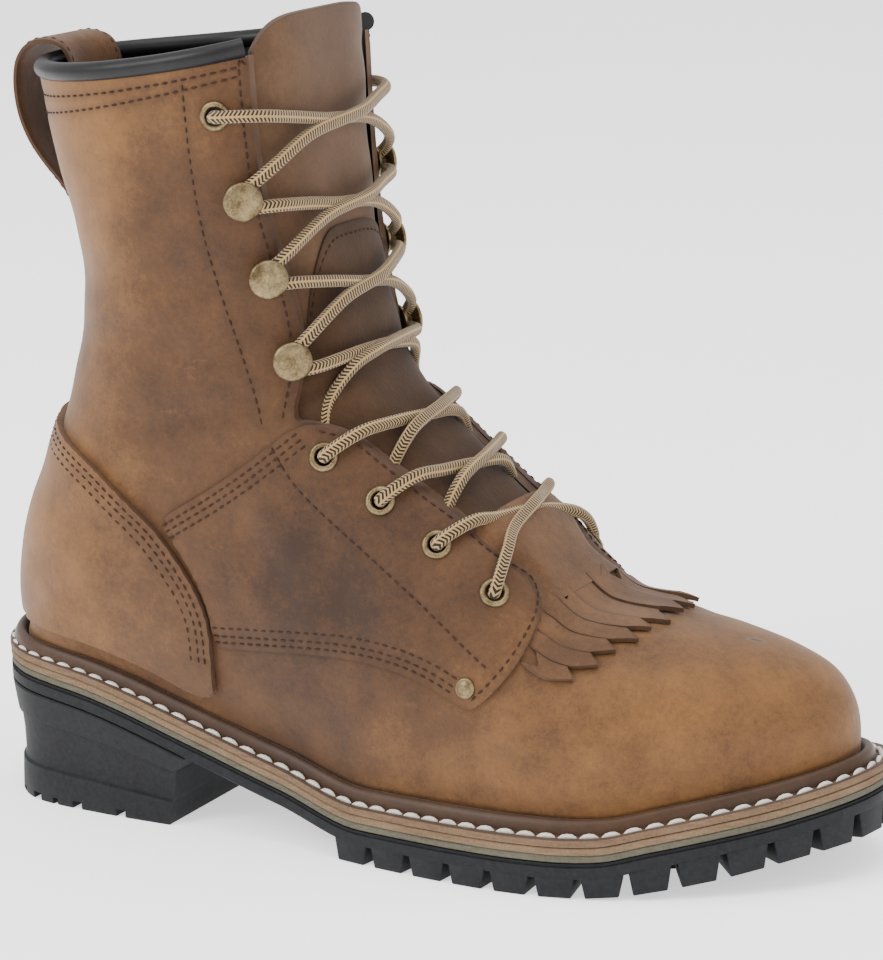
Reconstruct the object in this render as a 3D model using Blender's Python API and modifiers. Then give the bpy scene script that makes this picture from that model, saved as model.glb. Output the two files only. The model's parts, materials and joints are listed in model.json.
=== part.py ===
"""Logger boot, right foot, at real size in metres: +X to the toe, +Y to the inner side, +Z up.

The upper is one hollow wall lofted through fan sections: each runs from the front line of the
boot (toe cap, vamp ridge, instep, shaft front) to its lower line (the feather edge round the
sole, then the back of the shaft). Overlays are shells of the same surface, cut to their outline.
"""
import math

import bmesh
import bpy
import numpy as np
from mathutils import Matrix, Vector

# Driving sizes of the sole, in metres
SOLE_LENGTH = 0.312
SOLE_WIDTH = 0.1096
FOREPART_HEIGHT = 0.0164
HEEL_RISE = 0.0356
TOE_RISE = 0.0156
WELT_THICKNESS = 0.0030
MIDSOLE_THICKNESS = 0.0024
FOAM_THICKNESS = 0.0024
BASE_THICKNESS = 0.0054
BEAD_HEIGHT = 0.0042
BEAD_WIDTH = 0.0050
INSOLE_THICKNESS = 0.0040
HEEL_LENGTH = 0.078
HEEL_STEP = 0.0012
LUG_PITCH = 0.0152
LUG_GAP = 0.0042
LUG_DEPTH = 0.021
LUG_SINK = 0.0012
LUG_SHARE = 0.555
CHANNEL_WIDTH = 0.006

# Driving sizes of the upper
SHAFT_HEIGHT = 0.1927
SHAFT_WIDTH = 0.098
WALL = 0.0025
PANEL = 0.0014
GAP = 0.0003
COLLAR_DIP = 0.003
ROLL_RADIUS = 0.0040
TONGUE_WALL = 0.0026
TONGUE_RISE = 0.0105
TONGUE_DEPTH = 0.0008
KILTIE_WALL = 0.0018
KILTIE_LIFT = 0.0011
STRAP_WIDTH = 0.030
STRAP_WALL = 0.0022
STRAP_WRAP = 0.0026

# Fittings, seated a little off the facets of the leather
SEAT = 0.0006
EYELET_HOLE = 0.0026
EYELET_BARREL = 0.0005
EYELET_FLANGE = 0.0048
EYELET_LIP = 0.0010
HOOK_BASE = 0.0052
HOOK_PLATE = 0.0010
HOOK_NECK = 0.0020
HOOK_REACH = 0.0050
HOOK_CAP = 0.0054
HOOK_DOME = 0.0018
RIVET_RADIUS = 0.0033
RIVET_DOME = 0.0015
LACE_DIAMETER = 0.0042
LACE_LIFT = 0.0013
LACE_CROSS = 0.0008

# How finely the forms are cut
OUTLINE_POINTS = 42
FINE_OUTLINE = 400
FRONT_STEPS = 6
SIDE_STEPS = 4
VAMP_ROWS = 12
TURNED_STEPS = 8

# Sole outline: place along the length, centre line and roundness as shares of length and width
OUTLINE = (
    # along, centre, roundness
    (0.000, 0.000, 0.748),
    (0.016, 0.000, 0.730),
    (0.048, 0.000, 0.665),
    (0.096, 0.000, 0.565),
    (0.147, -0.003, 0.493),
    (0.282, -0.016, 0.403),
    (0.388, -0.027, 0.374),
    (0.503, -0.046, 0.420),
    (0.609, -0.036, 0.486),
    (0.692, -0.020, 0.542),
    (0.769, 0.000, 0.579),
    (0.827, 0.023, 0.591),
    (0.881, 0.050, 0.599),
    (0.930, 0.073, 0.606),
    (0.962, 0.091, 0.617),
    (1.000, 0.100, 0.620),
)

# Height of the welt's underside: shares of the heel rise and of the toe rise
LIFT = (
    # along, heel share, toe share
    (0.000, 1.000, 0.000),
    (0.147, 0.831, 0.000),
    (0.285, 0.494, 0.000),
    (0.388, 0.213, 0.000),
    (0.503, 0.000, 0.000),
    (0.720, 0.000, 0.000),
    (0.769, 0.000, 0.038),
    (0.824, 0.000, 0.263),
    (0.881, 0.000, 0.487),
    (0.930, 0.000, 0.680),
    (1.000, 0.000, 1.000),
)

# Height of the lugs' ground faces: shares of the toe rise
SPRING = (
    # along, share
    (0.720, 0.000),
    (0.769, 0.030),
    (0.865, 0.308),
    (0.955, 0.705),
    (1.000, 0.860),
)

# Width of the sole outside the upper's feather edge, as shares of the sole width
MARGIN = (
    # along, share
    (0.000, 0.059),
    (0.147, 0.068),
    (0.282, 0.078),
    (0.503, 0.087),
    (0.692, 0.096),
    (0.827, 0.096),
    (1.000, 0.091),
)

# Fan sections of the upper. front and low run from the toe tip (0) to the heel (1) of the feather
# edge; height, back rise are shares of the shaft height, back set of the last length; half width is a
# share of the shaft width, flare of the sole width; belly is the widest place between front and low.
SECTIONS = (
    # front, height, low, back set, back rise, half width, flare, belly, squareness, ridge
    (0.0000, 0.042, 0.0000, 0.000, 0.000, 0.000, 0.000, 0.55, 2.00, 0.100),
    (0.0012, 0.070, 0.0014, 0.000, 0.000, 0.000, 0.004, 0.58, 2.02, 0.100),
    (0.0061, 0.101, 0.0068, 0.000, 0.000, 0.000, 0.009, 0.60, 2.05, 0.098),
    (0.0170, 0.132, 0.0186, 0.000, 0.000, 0.000, 0.014, 0.62, 2.10, 0.092),
    (0.0390, 0.172, 0.0406, 0.000, 0.000, 0.000, 0.020, 0.62, 2.15, 0.082),
    (0.0778, 0.211, 0.0778, 0.000, 0.000, 0.000, 0.026, 0.61, 2.20, 0.064),
    (0.1354, 0.254, 0.1421, 0.000, 0.000, 0.000, 0.030, 0.59, 2.30, 0.040),
    (0.2098, 0.298, 0.2234, 0.000, 0.000, 0.000, 0.034, 0.57, 2.40, 0.020),
    (0.2640, 0.313, 0.3046, 0.000, 0.000, 0.000, 0.034, 0.57, 2.60, 0.008),
    (0.3147, 0.377, 0.3858, 0.000, 0.000, 0.440, 0.030, 0.56, 2.80, 0.000),
    (0.3655, 0.461, 0.4738, 0.000, 0.000, 0.435, 0.030, 0.55, 3.00, 0.000),
    (0.4196, 0.508, 0.5685, 0.000, 0.000, 0.432, 0.030, 0.53, 3.10, 0.000),
    (0.4687, 0.530, 0.6701, 0.000, 0.000, 0.436, 0.030, 0.51, 3.20, 0.000),
    (0.5042, 0.538, 0.7716, 0.000, 0.000, 0.440, 0.030, 0.49, 3.20, 0.000),
    (0.5228, 0.544, 0.8663, 0.000, 0.000, 0.444, 0.030, 0.47, 3.20, 0.000),
    (0.5296, 0.546, 0.9272, 0.000, 0.000, 0.446, 0.030, 0.46, 3.20, 0.000),
    (0.5330, 0.550, 0.9679, 0.000, 0.000, 0.448, 0.030, 0.45, 3.20, 0.000),
    (0.5347, 0.556, 0.9882, 0.000, 0.000, 0.448, 0.030, 0.45, 3.20, 0.000),
    (0.5364, 0.566, 1.0000, 0.000, 0.000, 0.450, 0.030, 0.45, 3.20, 0.000),
    (0.5415, 0.608, 1.0000, -0.003, 0.058, 0.452, 0.030, 0.45, 3.20, 0.000),
    (0.5482, 0.639, 1.0000, 0.005, 0.141, 0.456, 0.030, 0.45, 3.20, 0.000),
    (0.5550, 0.678, 1.0000, 0.024, 0.224, 0.460, 0.030, 0.45, 3.20, 0.000),
    (0.5618, 0.722, 1.0000, 0.051, 0.318, 0.466, 0.030, 0.46, 3.25, 0.000),
    (0.5679, 0.772, 1.0000, 0.081, 0.421, 0.472, 0.030, 0.47, 3.30, 0.000),
    (0.5726, 0.826, 1.0000, 0.104, 0.530, 0.480, 0.030, 0.48, 3.35, 0.000),
    (0.5760, 0.883, 1.0000, 0.115, 0.634, 0.486, 0.030, 0.49, 3.40, 0.000),
    (0.5780, 0.940, 1.0000, 0.107, 0.735, 0.492, 0.030, 0.50, 3.45, 0.000),
    (0.5787, 0.992, 1.0000, 0.090, 0.831, 0.496, 0.030, 0.50, 3.50, 0.000),
    (0.5787, 1.030, 1.0000, 0.077, 0.925, 0.500, 0.030, 0.50, 3.50, 0.000),
    (0.5787, 1.060, 1.0000, 0.069, 1.000, 0.500, 0.030, 0.50, 3.50, 0.000),
)

# Outlines on the boot's side: along the sole length, height above the heel's feather edge as a share
# of the shaft height
THROAT = (
    (0.5000, 1.180),
    (0.3890, 1.080),
    (0.3906, 1.030),
    (0.3920, 0.930),
    (0.3969, 0.817),
    (0.4100, 0.700),
    (0.4242, 0.598),
    (0.4250, 0.520),
    (0.4193, 0.448),
    (0.4400, 0.449),
    (0.4760, 0.430),
    (0.5322, 0.359),
    (0.5905, 0.289),
    (0.6500, 0.212),
    (0.6700, 0.180),
    (0.7000, 0.160),
    (0.7300, 0.210),
    (0.7000, 0.420),
    (0.6000, 0.800),
)
QUARTER = (
    (0.3250, 0.052),
    (0.3709, 0.057),
    (0.4300, 0.063),
    (0.4907, 0.066),
    (0.5400, 0.058),
    (0.5768, 0.043),
    (0.6100, 0.018),
    (0.6280, 0.005),
    (0.6400, 0.010),
    (0.6613, 0.044),
    (0.6760, 0.075),
    (0.6844, 0.106),
    (0.6860, 0.142),
    (0.6763, 0.173),
    (0.6517, 0.216),
    (0.5905, 0.291),
    (0.5322, 0.361),
    (0.4900, 0.415),
    (0.4762, 0.432),
    (0.4487, 0.446),
    (0.4250, 0.440),
    (0.3940, 0.400),
    (0.3533, 0.352),
    (0.3060, 0.305),
    (0.2660, 0.268),
    (0.2880, 0.222),
    (0.3120, 0.162),
    (0.3225, 0.110),
)
COUNTER = (
    (-0.080, 0.500),
    (0.020, 0.450),
    (0.106, 0.414),
    (0.180, 0.362),
    (0.2216, 0.305),
    (0.2585, 0.257),
    (0.2850, 0.206),
    (0.3040, 0.162),
    (0.3165, 0.121),
    (0.3210, 0.075),
    (0.3190, 0.020),
    (0.3150, -0.060),
    (0.2200, 0.000),
    (0.1200, 0.036),
    (0.0000, 0.050),
    (-0.080, 0.056),
)

# Places of the lace fittings on the side: along the sole length and height as above
EYELETS = (
    (0.3605, 0.956),
    (0.4573, 0.392),
    (0.5180, 0.323),
    (0.5788, 0.255),
    (0.6406, 0.182),
)
HOOKS = (
    (0.3819, 0.819),
    (0.3982, 0.688),
    (0.4183, 0.549),
)
RIVET = (0.6285, 0.040)

# Tongue: a sheet inside the upper's surface, from under the vamp to above the collar, in section rows
TONGUE_ROOT = 8.0
TONGUE_SPREAD = (
    # section row, half spread as a turn
    (8.0, 0.300),
    (9.0, 0.330),
    (11.0, 0.360),
    (14.0, 0.400),
    (22.0, 0.390),
    (26.0, 0.330),
    (29.0, 0.268),
)

# Kiltie: section rows and turns of the fringe, its locks cut to points
KILTIE_ROOT = 10.2
KILTIE_SPREAD = 0.40
KILTIE_FRONT = 7.12
KILTIE_SWEEP = 5.6
LOCKS = 8
LOCK_POINT = 0.30
LOCK_SLIT_START = 0.55
LOCK_SLIT = 0.006
QUARTER_FRONT = (
    # side view line just ahead of the quarters, which the kiltie keeps clear of
    (0.5350, 0.364),
    (0.5935, 0.294),
    (0.6547, 0.219),
    (0.6800, 0.178),
    (0.6900, 0.142),
    (0.6880, 0.104),
    (0.6790, 0.070),
    (0.6640, 0.020),
    (0.8000, 0.000),
    (0.8500, 0.250),
    (0.6000, 0.600),
)

# Pull strap: how far down the back it is sewn, in section rows, and its loop over the collar, as shares
# of the loop's depth and height from the back of the collar
STRAP_FOOT = 23.25
STRAP_TOP = 26.6
LOOP_DEPTH = 0.0105
LOOP_HEIGHT = 0.0100
LOOP = (
    # behind the collar, above the collar, wrap
    (0.43, -2.70, 0.50),
    (0.86, -1.70, 0.20),
    (1.00, -0.70, 0.05),
    (0.92, 0.20, 0.00),
    (0.62, 0.72, 0.00),
    (0.20, 0.98, 0.00),
    (-0.35, 1.02, 0.30),
    (-0.74, 0.82, 0.80),
    (-0.90, 0.25, 1.30),
    (-0.88, -0.70, 1.30),
    (-0.76, -2.00, 1.30),
)

# Lace crossings, low to high: where each run of cord starts and ends on the surface
CROSSINGS = (
    # lower row, upper row, lower turn, upper turn, over the kiltie
    (9.38, 10.50, 0.150, 0.145, 1.0),
    (10.66, 11.42, 0.140, 0.150, 0.0),
    (11.80, 12.75, 0.165, 0.190, 0.0),
    (13.25, 18.60, 0.205, 0.205, 0.0),
    (19.10, 22.10, 0.200, 0.215, 0.0),
    (22.50, 24.40, 0.215, 0.225, 0.0),
    (24.90, 26.90, 0.225, 0.225, 0.0),
)

COLOURS = {
    # colour, roughness, metallic
    "leather_brown": ((0.205, 0.112, 0.052, 1.0), 0.72, 0.0),
    "leather_tan": ((0.270, 0.160, 0.078, 1.0), 0.74, 0.0),
    "leather_black": ((0.020, 0.019, 0.019, 1.0), 0.42, 0.0),
    "leather_welt": ((0.160, 0.090, 0.045, 1.0), 0.60, 0.0),
    "leather_stack": ((0.360, 0.270, 0.170, 1.0), 0.80, 0.0),
    "foam_grey": ((0.170, 0.165, 0.120, 1.0), 0.85, 0.0),
    "rubber_black": ((0.018, 0.019, 0.021, 1.0), 0.60, 0.0),
    "insole_board": ((0.120, 0.095, 0.070, 1.0), 0.85, 0.0),
    "brass_aged": ((0.300, 0.230, 0.120, 1.0), 0.36, 1.0),
    "lace_fabric": ((0.620, 0.500, 0.340, 1.0), 0.85, 0.0),
}


def smooth(rows, column, place):
    """Value of a table column at a place in its first column, on a monotone cubic."""
    xs = np.array([row[0] for row in rows])
    ys = np.array([row[column] for row in rows])
    return hermite(xs, ys, np.asarray(place, dtype=float))


def hermite(xs, ys, at):
    """Monotone cubic through the points (xs, ys), read at the places given."""
    widths = np.diff(xs)
    slopes = np.diff(ys) / widths
    bends = np.zeros(len(xs))
    bends[0] = slopes[0]
    bends[-1] = slopes[-1]
    for i in range(1, len(xs) - 1):
        before, after = slopes[i - 1], slopes[i]
        if before * after > 0.0:
            near = 2.0 * widths[i] + widths[i - 1]
            far = widths[i] + 2.0 * widths[i - 1]
            bends[i] = (near + far) / (near / before + far / after)
    at = np.clip(at, xs[0], xs[-1])
    k = np.clip(np.searchsorted(xs, at, side="right") - 1, 0, len(xs) - 2)
    t = (at - xs[k]) / widths[k]
    first = (1.0 + 2.0 * t) * (1.0 - t) ** 2 * ys[k] + t * (1.0 - t) ** 2 * widths[k] * bends[k]
    second = t * t * (3.0 - 2.0 * t) * ys[k + 1] + t * t * (t - 1.0) * widths[k] * bends[k + 1]
    return first + second


def sole_lift(x):
    """Height of the welt's underside above the floor."""
    place = np.clip(np.asarray(x) / SOLE_LENGTH, 0.0, 1.0)
    heel = smooth(LIFT, 1, place) * HEEL_RISE
    toe = smooth(LIFT, 2, place) * TOE_RISE
    return FOREPART_HEIGHT + heel + toe


def tread_lift(x):
    """Height of the lugs' ground faces above the floor."""
    place = np.clip(np.asarray(x) / SOLE_LENGTH, SPRING[0][0], 1.0)
    return smooth(SPRING, 1, place) * TOE_RISE


def outline(inset, margins, count):
    """Points round the sole, moved in by inset plus that many margins, from the toe by the outside."""
    turn = np.linspace(0.0, 2.0 * math.pi, count, endpoint=False)
    along = 0.5 * (1.0 + np.cos(turn))
    centre = smooth(OUTLINE, 1, along) * SOLE_WIDTH
    half = smooth(OUTLINE, 2, along) * SOLE_WIDTH * np.sin(turn)
    points = np.stack([along * SOLE_LENGTH, centre - half], 1)
    ahead = np.roll(points, -1, 0) - np.roll(points, 1, 0)
    ahead /= np.linalg.norm(ahead, axis=1)[:, None]
    inward = np.stack([ahead[:, 1], -ahead[:, 0]], 1)
    middle = np.array([0.5 * SOLE_LENGTH, 0.0])
    flip = np.sign(np.sum(inward * (middle - points), 1))
    inward *= np.where(flip == 0.0, 1.0, flip)[:, None]
    depth = inset + margins * smooth(MARGIN, 1, along) * SOLE_WIDTH
    return points + inward * depth[:, None]


FEATHER = outline(0.0, 1.0, FINE_OUTLINE)
LAST_TIP = FEATHER[:, 0].max()
LAST_HEEL = FEATHER[:, 0].min()
LAST_LENGTH = LAST_TIP - LAST_HEEL


def feather_side(x, points):
    """Width coordinate of one side of the feather edge at x."""
    order = np.argsort(points[:, 0])
    return np.interp(x, points[order, 0], points[order, 1])


def feather_widths(x):
    """Centre and half width of the feather edge at x."""
    tip = int(np.argmax(FEATHER[:, 0]))
    ring = np.roll(FEATHER, -tip, 0)
    heel = int(np.argmin(ring[:, 0]))
    outer = feather_side(x, ring[:heel + 1])
    inner = feather_side(x, np.vstack([ring[heel:], ring[:1]]))
    return 0.5 * (outer + inner), 0.5 * np.abs(inner - outer)


def feather_height(x):
    """Height of the feather edge, on top of the welt."""
    return sole_lift(x) + WELT_THICKNESS + SEAT


HEEL_FEATHER = float(feather_height(LAST_HEEL))


def section(row):
    """Front point, low point and form of the fan section at a row number, which may be a fraction."""
    rows = np.arange(len(SECTIONS), dtype=float)
    table = np.array(SECTIONS)
    values = [float(hermite(rows, table[:, c], row)) for c in range(table.shape[1])]
    front, height, low, back_set, back_rise, half, flare, belly, square, ridge = values
    low_x = LAST_TIP - low * LAST_LENGTH
    centre, foot_half = feather_widths(np.clip(low_x, LAST_HEEL, LAST_TIP))
    base = float(feather_height(low_x))
    front_point = (LAST_TIP - front * LAST_LENGTH, base + height * SHAFT_HEIGHT)
    low_point = (low_x + back_set * LAST_LENGTH, base + back_rise * SHAFT_HEIGHT)
    closed = back_rise > 0.0 or low >= 1.0
    foot_half = 0.0 if closed or low <= 0.0 else float(foot_half)
    centre = 0.0 if closed else float(centre)
    wide = half * SHAFT_WIDTH
    bulged = foot_half + flare * SOLE_WIDTH if low > 0.0 else 0.0
    soft = 0.002 if low > 0.0 else 0.0
    widest = 0.5 * (wide + bulged + math.hypot(wide - bulged, soft))
    return front_point, low_point, foot_half, widest, centre, belly, square, ridge * SOLE_WIDTH


def upper_point(row, turn):
    """Point of the upper's outer surface; turn runs from -1, low on the outside, over 0, the front, to 1."""
    front, low, foot_half, widest, centre, belly, square, ridge = section(row)
    part = abs(turn) * (FRONT_STEPS + SIDE_STEPS) / FRONT_STEPS
    if part <= 1.0:
        angle = part * 0.5 * math.pi
        power = 2.0 / square
        along = belly * (1.0 - abs(math.cos(angle)) ** power)
        half = widest * math.sin(angle) ** power
    else:
        step = (abs(turn) * (FRONT_STEPS + SIDE_STEPS) - FRONT_STEPS) / SIDE_STEPS
        down = math.sin(step * 0.5 * math.pi)
        open_share = foot_half / widest if widest > 0.0 else 1.0
        power = 0.5 + 0.5 * open_share
        along = belly + (1.0 - belly) * down
        half = foot_half + (widest - foot_half) * max(0.0, 1.0 - down ** 2.1) ** power
    side = -1.0 if turn < 0.0 else 1.0
    top = (len(SECTIONS) - 1.0 - row) / 3.0
    dip = COLLAR_DIP * max(0.0, 1.0 - top) * 4.0 * along * (1.0 - along)
    x = front[0] + (low[0] - front[0]) * along
    z = front[1] + (low[1] - front[1]) * along - dip
    y = ridge + (centre - ridge) * min(1.0, along / max(belly, 0.01)) + side * half
    return Vector((x, y, z))


def upper_normal(row, turn):
    """Outward unit normal of the upper's surface."""
    last = len(SECTIONS) - 1.0
    ahead = upper_point(min(row + 0.02, last), turn) - upper_point(max(row - 0.02, 0.0), turn)
    across = upper_point(row, min(turn + 0.004, 1.0)) - upper_point(row, max(turn - 0.004, -1.0))
    return across.cross(ahead).normalized()


def surface_grid():
    """Coarse net of surface points on the inner side, with their rows and turns."""
    net = []
    for row in np.linspace(3.0, len(SECTIONS) - 1.0, 54):
        for turn in np.linspace(0.10, 0.94, 29):
            point = upper_point(row, turn)
            net.append((point.x, point.z, row, turn))
    return np.array(net)


SURFACE = surface_grid()


def on_upper(along, height, side):
    """Row and turn of the surface point that shows at a place of the boot's side view."""
    goal_x = along * SOLE_LENGTH
    goal_z = HEEL_FEATHER + height * SHAFT_HEIGHT
    far = (SURFACE[:, 0] - goal_x) ** 2 + (SURFACE[:, 1] - goal_z) ** 2
    pick = SURFACE[int(np.argmin(far))]
    best = (1.0, float(pick[2]), float(pick[3]))
    reach_row, reach_turn = 0.5, 0.03
    for _ in range(12):
        _, row0, turn0 = best
        for row in (row0 - reach_row, row0, row0 + reach_row):
            for turn in (turn0 - reach_turn, turn0, turn0 + reach_turn):
                row_in = min(max(row, 0.0), len(SECTIONS) - 1.0)
                point = upper_point(row_in, side * turn)
                gap = (point.x - goal_x) ** 2 + (point.z - goal_z) ** 2
                if gap < best[0]:
                    best = (gap, row_in, turn)
        reach_row *= 0.62
        reach_turn *= 0.62
    return best[1], side * best[2]


def material(name):
    """Principled material of one finish."""
    made = bpy.data.materials.get(name)
    if made is None:
        colour, roughness, metallic = COLOURS[name]
        made = bpy.data.materials.new(name)
        made.use_nodes = True
        shader = made.node_tree.nodes["Principled BSDF"]
        shader.inputs["Base Color"].default_value = colour
        shader.inputs["Roughness"].default_value = roughness
        shader.inputs["Metallic"].default_value = metallic
        made.diffuse_color = colour
    return made


def add_object(name, mesh, finish, group="logger_boot"):
    """Object with its mesh and finish in a collection; cutters only show as wires."""
    shape = bpy.data.objects.new(name, mesh)
    bpy.data.collections[group].objects.link(shape)
    if finish:
        mesh.materials.clear()
        mesh.materials.append(material(finish))
    else:
        shape.hide_render = True
        shape.display_type = "WIRE"
    return shape


def mesh_from(name, bm):
    """Mesh of a bmesh, with its normals pointing out."""
    bmesh.ops.recalc_face_normals(bm, faces=bm.faces)
    mesh = bpy.data.meshes.new(name)
    bm.to_mesh(mesh)
    bm.free()
    return mesh


def evaluated(shape):
    """Mesh of an object with its modifiers, which are then cleared."""
    bpy.context.view_layer.update()
    graph = bpy.context.evaluated_depsgraph_get()
    mesh = bpy.data.meshes.new_from_object(shape.evaluated_get(graph))
    shape.modifiers.clear()
    return mesh


def settle(shape):
    """Turns an object's modifiers into its own mesh."""
    mesh = evaluated(shape)
    shape.data = mesh
    return shape


def combine(shape, others, operation):
    """Cuts, joins or trims an object by others with exact Booleans."""
    for other in others:
        boolean = shape.modifiers.new(operation.lower(), "BOOLEAN")
        boolean.operation = operation
        boolean.solver = "EXACT"
        boolean.object = other
    return settle(shape)


def smooth_shade(shape, angle=0.7):
    """Smooth shading with sharp edges past an angle."""
    shape.data.shade_smooth()
    shape.data.set_sharp_from_angle(angle=angle)


def loft(bm, rings, closed_rings, capped):
    """Faces between rings of points of equal length."""
    made = [[bm.verts.new(point) for point in ring] for ring in rings]
    count = len(made[0])
    last = count if closed_rings else count - 1
    for ring, after in zip(made, made[1:]):
        for j in range(last):
            k = (j + 1) % count
            bm.faces.new((ring[j], ring[k], after[k], after[j]))
    if capped:
        bm.faces.new(made[0][::-1])
        bm.faces.new(made[-1])
    return made


def side_prism(name, points, y_from, y_to):
    """Cutter: an outline of the side view, extruded across the boot."""
    bm = bmesh.new()
    rings = []
    for y in (y_from, y_to):
        ring = []
        for along, height in points:
            ring.append((along * SOLE_LENGTH, y, HEEL_FEATHER + height * SHAFT_HEIGHT))
        rings.append(ring)
    loft(bm, rings, True, True)
    return add_object(name, mesh_from(name, bm), None, "cutters")


def surface_net():
    """Places, normals and faces of the upper's whole surface, welded at the toe and up the back."""
    steps = FRONT_STEPS + SIDE_STEPS
    bm = bmesh.new()
    grid = []
    for row in range(len(SECTIONS)):
        grid.append([bm.verts.new(upper_point(float(row), j / steps)) for j in range(-steps, steps + 1)])
    rows = bm.faces.layers.int.new("row")
    turns = bm.faces.layers.int.new("turn")
    for row, (ring, after) in enumerate(zip(grid, grid[1:])):
        for j in range(2 * steps):
            face = bm.faces.new((ring[j], after[j], after[j + 1], ring[j + 1]))
            face[rows] = row
            face[turns] = j - steps if j < steps else j - steps + 1
    bmesh.ops.remove_doubles(bm, verts=bm.verts, dist=0.00005)
    bmesh.ops.triangulate(bm, faces=bm.faces)
    probe = max(bm.faces, key=lambda face: face.calc_center_median().y)
    if probe.normal.y < 0.0:
        bmesh.ops.reverse_faces(bm, faces=bm.faces)
    bm.normal_update()
    bm.verts.index_update()
    net = {
        "places": [vert.co.copy() for vert in bm.verts],
        "normals": [vert.normal.copy() for vert in bm.verts],
        "faces": [(face[rows], face[turns], [vert.index for vert in face.verts]) for face in bm.faces],
    }
    bm.free()
    return net


NET = surface_net()


def upper_shell(name, finish, rows, least_turn, side, lift, thickness):
    """Closed shell on the upper's surface: a range of rows, of turns and of sides, from lift inwards."""
    kept = []
    for row, turn, corners in NET["faces"]:
        if rows[0] <= row < rows[1] and abs(turn) > least_turn and (side == 0.0 or turn * side > 0.0):
            kept.append(corners)
    used = sorted({index for corners in kept for index in corners})
    bm = bmesh.new()
    layers = []
    for reach in (lift, lift - thickness):
        layers.append({i: bm.verts.new(NET["places"][i] + NET["normals"][i] * reach) for i in used})
    outer, inner = layers
    edges = {}
    for corners in kept:
        bm.faces.new([outer[i] for i in corners])
        bm.faces.new([inner[i] for i in reversed(corners)])
        for a, b in zip(corners, corners[1:] + corners[:1]):
            edges[(a, b)] = edges.get((a, b), 0) + 1
    for a, b in edges:
        if (b, a) not in edges:
            if a < b:
                bm.faces.new((outer[b], outer[a], inner[a]))
                bm.faces.new((outer[b], inner[a], inner[b]))
            else:
                bm.faces.new((outer[a], inner[a], inner[b]))
                bm.faces.new((outer[a], inner[b], outer[b]))
    mesh = bpy.data.meshes.new(name)
    bm.to_mesh(mesh)
    bm.free()
    return add_object(name, mesh, finish)


def plate(name, finish, inset, margins, top, bottom):
    """Sole layer between two heights over the welt's underside, inside the outline."""
    count = OUTLINE_POINTS
    points = outline(inset, margins, count)
    bm = bmesh.new()
    half = count // 2
    rings = []
    for height in (bottom, top):
        rings.append([bm.verts.new((x, y, float(sole_lift(x)) + height)) for x, y in points])
    low, high = rings
    for j in range(count):
        k = (j + 1) % count
        bm.faces.new((low[j], low[k], high[k], high[j]))
    for ring in rings:
        bm.faces.new((ring[0], ring[1], ring[-1]))
        for j in range(1, half - 1):
            bm.faces.new((ring[j], ring[j + 1], ring[count - j - 1], ring[count - j]))
        bm.faces.new((ring[half - 1], ring[half], ring[half + 1]))
    shape = add_object(name, mesh_from(name, bm), finish)
    smooth_shade(shape)
    return shape


def make_welt():
    """Welt strip with its raised rand bead, one section swept round the feather edge."""
    width = BEAD_WIDTH
    top = WELT_THICKNESS
    profile = (
        # outside the feather edge in metres, share of the margin, height
        (-0.8 * WALL, 0.0, SEAT),
        (0.0, 1.0, SEAT),
        (0.0, 1.0, top - GAP),
        (width, 0.0, top - GAP),
        (1.04 * width, 0.0, top + 0.50 * BEAD_HEIGHT),
        (0.84 * width, 0.0, top + 0.92 * BEAD_HEIGHT),
        (0.60 * width, 0.0, top + BEAD_HEIGHT),
        (0.42 * width, 0.0, top + 0.70 * BEAD_HEIGHT),
        (0.26 * width, 0.0, top),
        (-0.8 * WALL, 0.0, top),
    )
    rings = []
    for out, share, height in profile:
        points = outline(-out, 1.0 - share, OUTLINE_POINTS)
        lift = sole_lift(points[:, 0])
        rings.append([(x, y, z + height) for (x, y), z in zip(points, lift)])
    bm = bmesh.new()
    rings.append(rings[0])
    loft(bm, rings, True, False)
    bmesh.ops.remove_doubles(bm, verts=bm.verts, dist=0.00002)
    shape = add_object("welt", mesh_from("welt", bm), "leather_welt")
    smooth_shade(shape)


def base_under(x):
    """Underside of the outsole's base plate."""
    return sole_lift(x) - MIDSOLE_THICKNESS - FOAM_THICKNESS - BASE_THICKNESS


def hexahedron(bm, corners):
    """Block with its eight corners moved to the places given, low four first."""
    made = bmesh.ops.create_cube(bm, size=2.0)["verts"]
    order = ((-1, -1, -1), (1, -1, -1), (1, 1, -1), (-1, 1, -1), (-1, -1, 1), (1, -1, 1), (1, 1, 1), (-1, 1, 1))
    places = {key: place for key, place in zip(order, corners)}
    for vert in made:
        key = tuple(int(round(value)) for value in vert.co)
        vert.co = places[key]


def edge_lugs(bm, outer, inner, share):
    """Lugs along one side of the forepart, from the toe: wide at the edge, tapered to the ground."""
    runs = np.concatenate([[0.0], np.cumsum(np.linalg.norm(np.diff(outer, axis=0), axis=1))])
    for k in range(int(share * runs[-1] / LUG_PITCH)):
        centre = (k + 0.5) * LUG_PITCH
        corners = []
        for is_root in (False, True):
            half = 0.5 * (LUG_PITCH - (0.35 if is_root else 1.0) * LUG_GAP)
            places = []
            for run, ring in ((centre - half, outer), (centre + half, outer), (centre + half, inner),
                              (centre - half, inner)):
                places.append([float(np.interp(run, runs, ring[:, axis])) for axis in (0, 1)])
            for x, y in places:
                z = float(base_under(x)) + LUG_SINK if is_root else float(tread_lift(x))
                corners.append((x, y, z))
        hexahedron(bm, corners)


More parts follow.
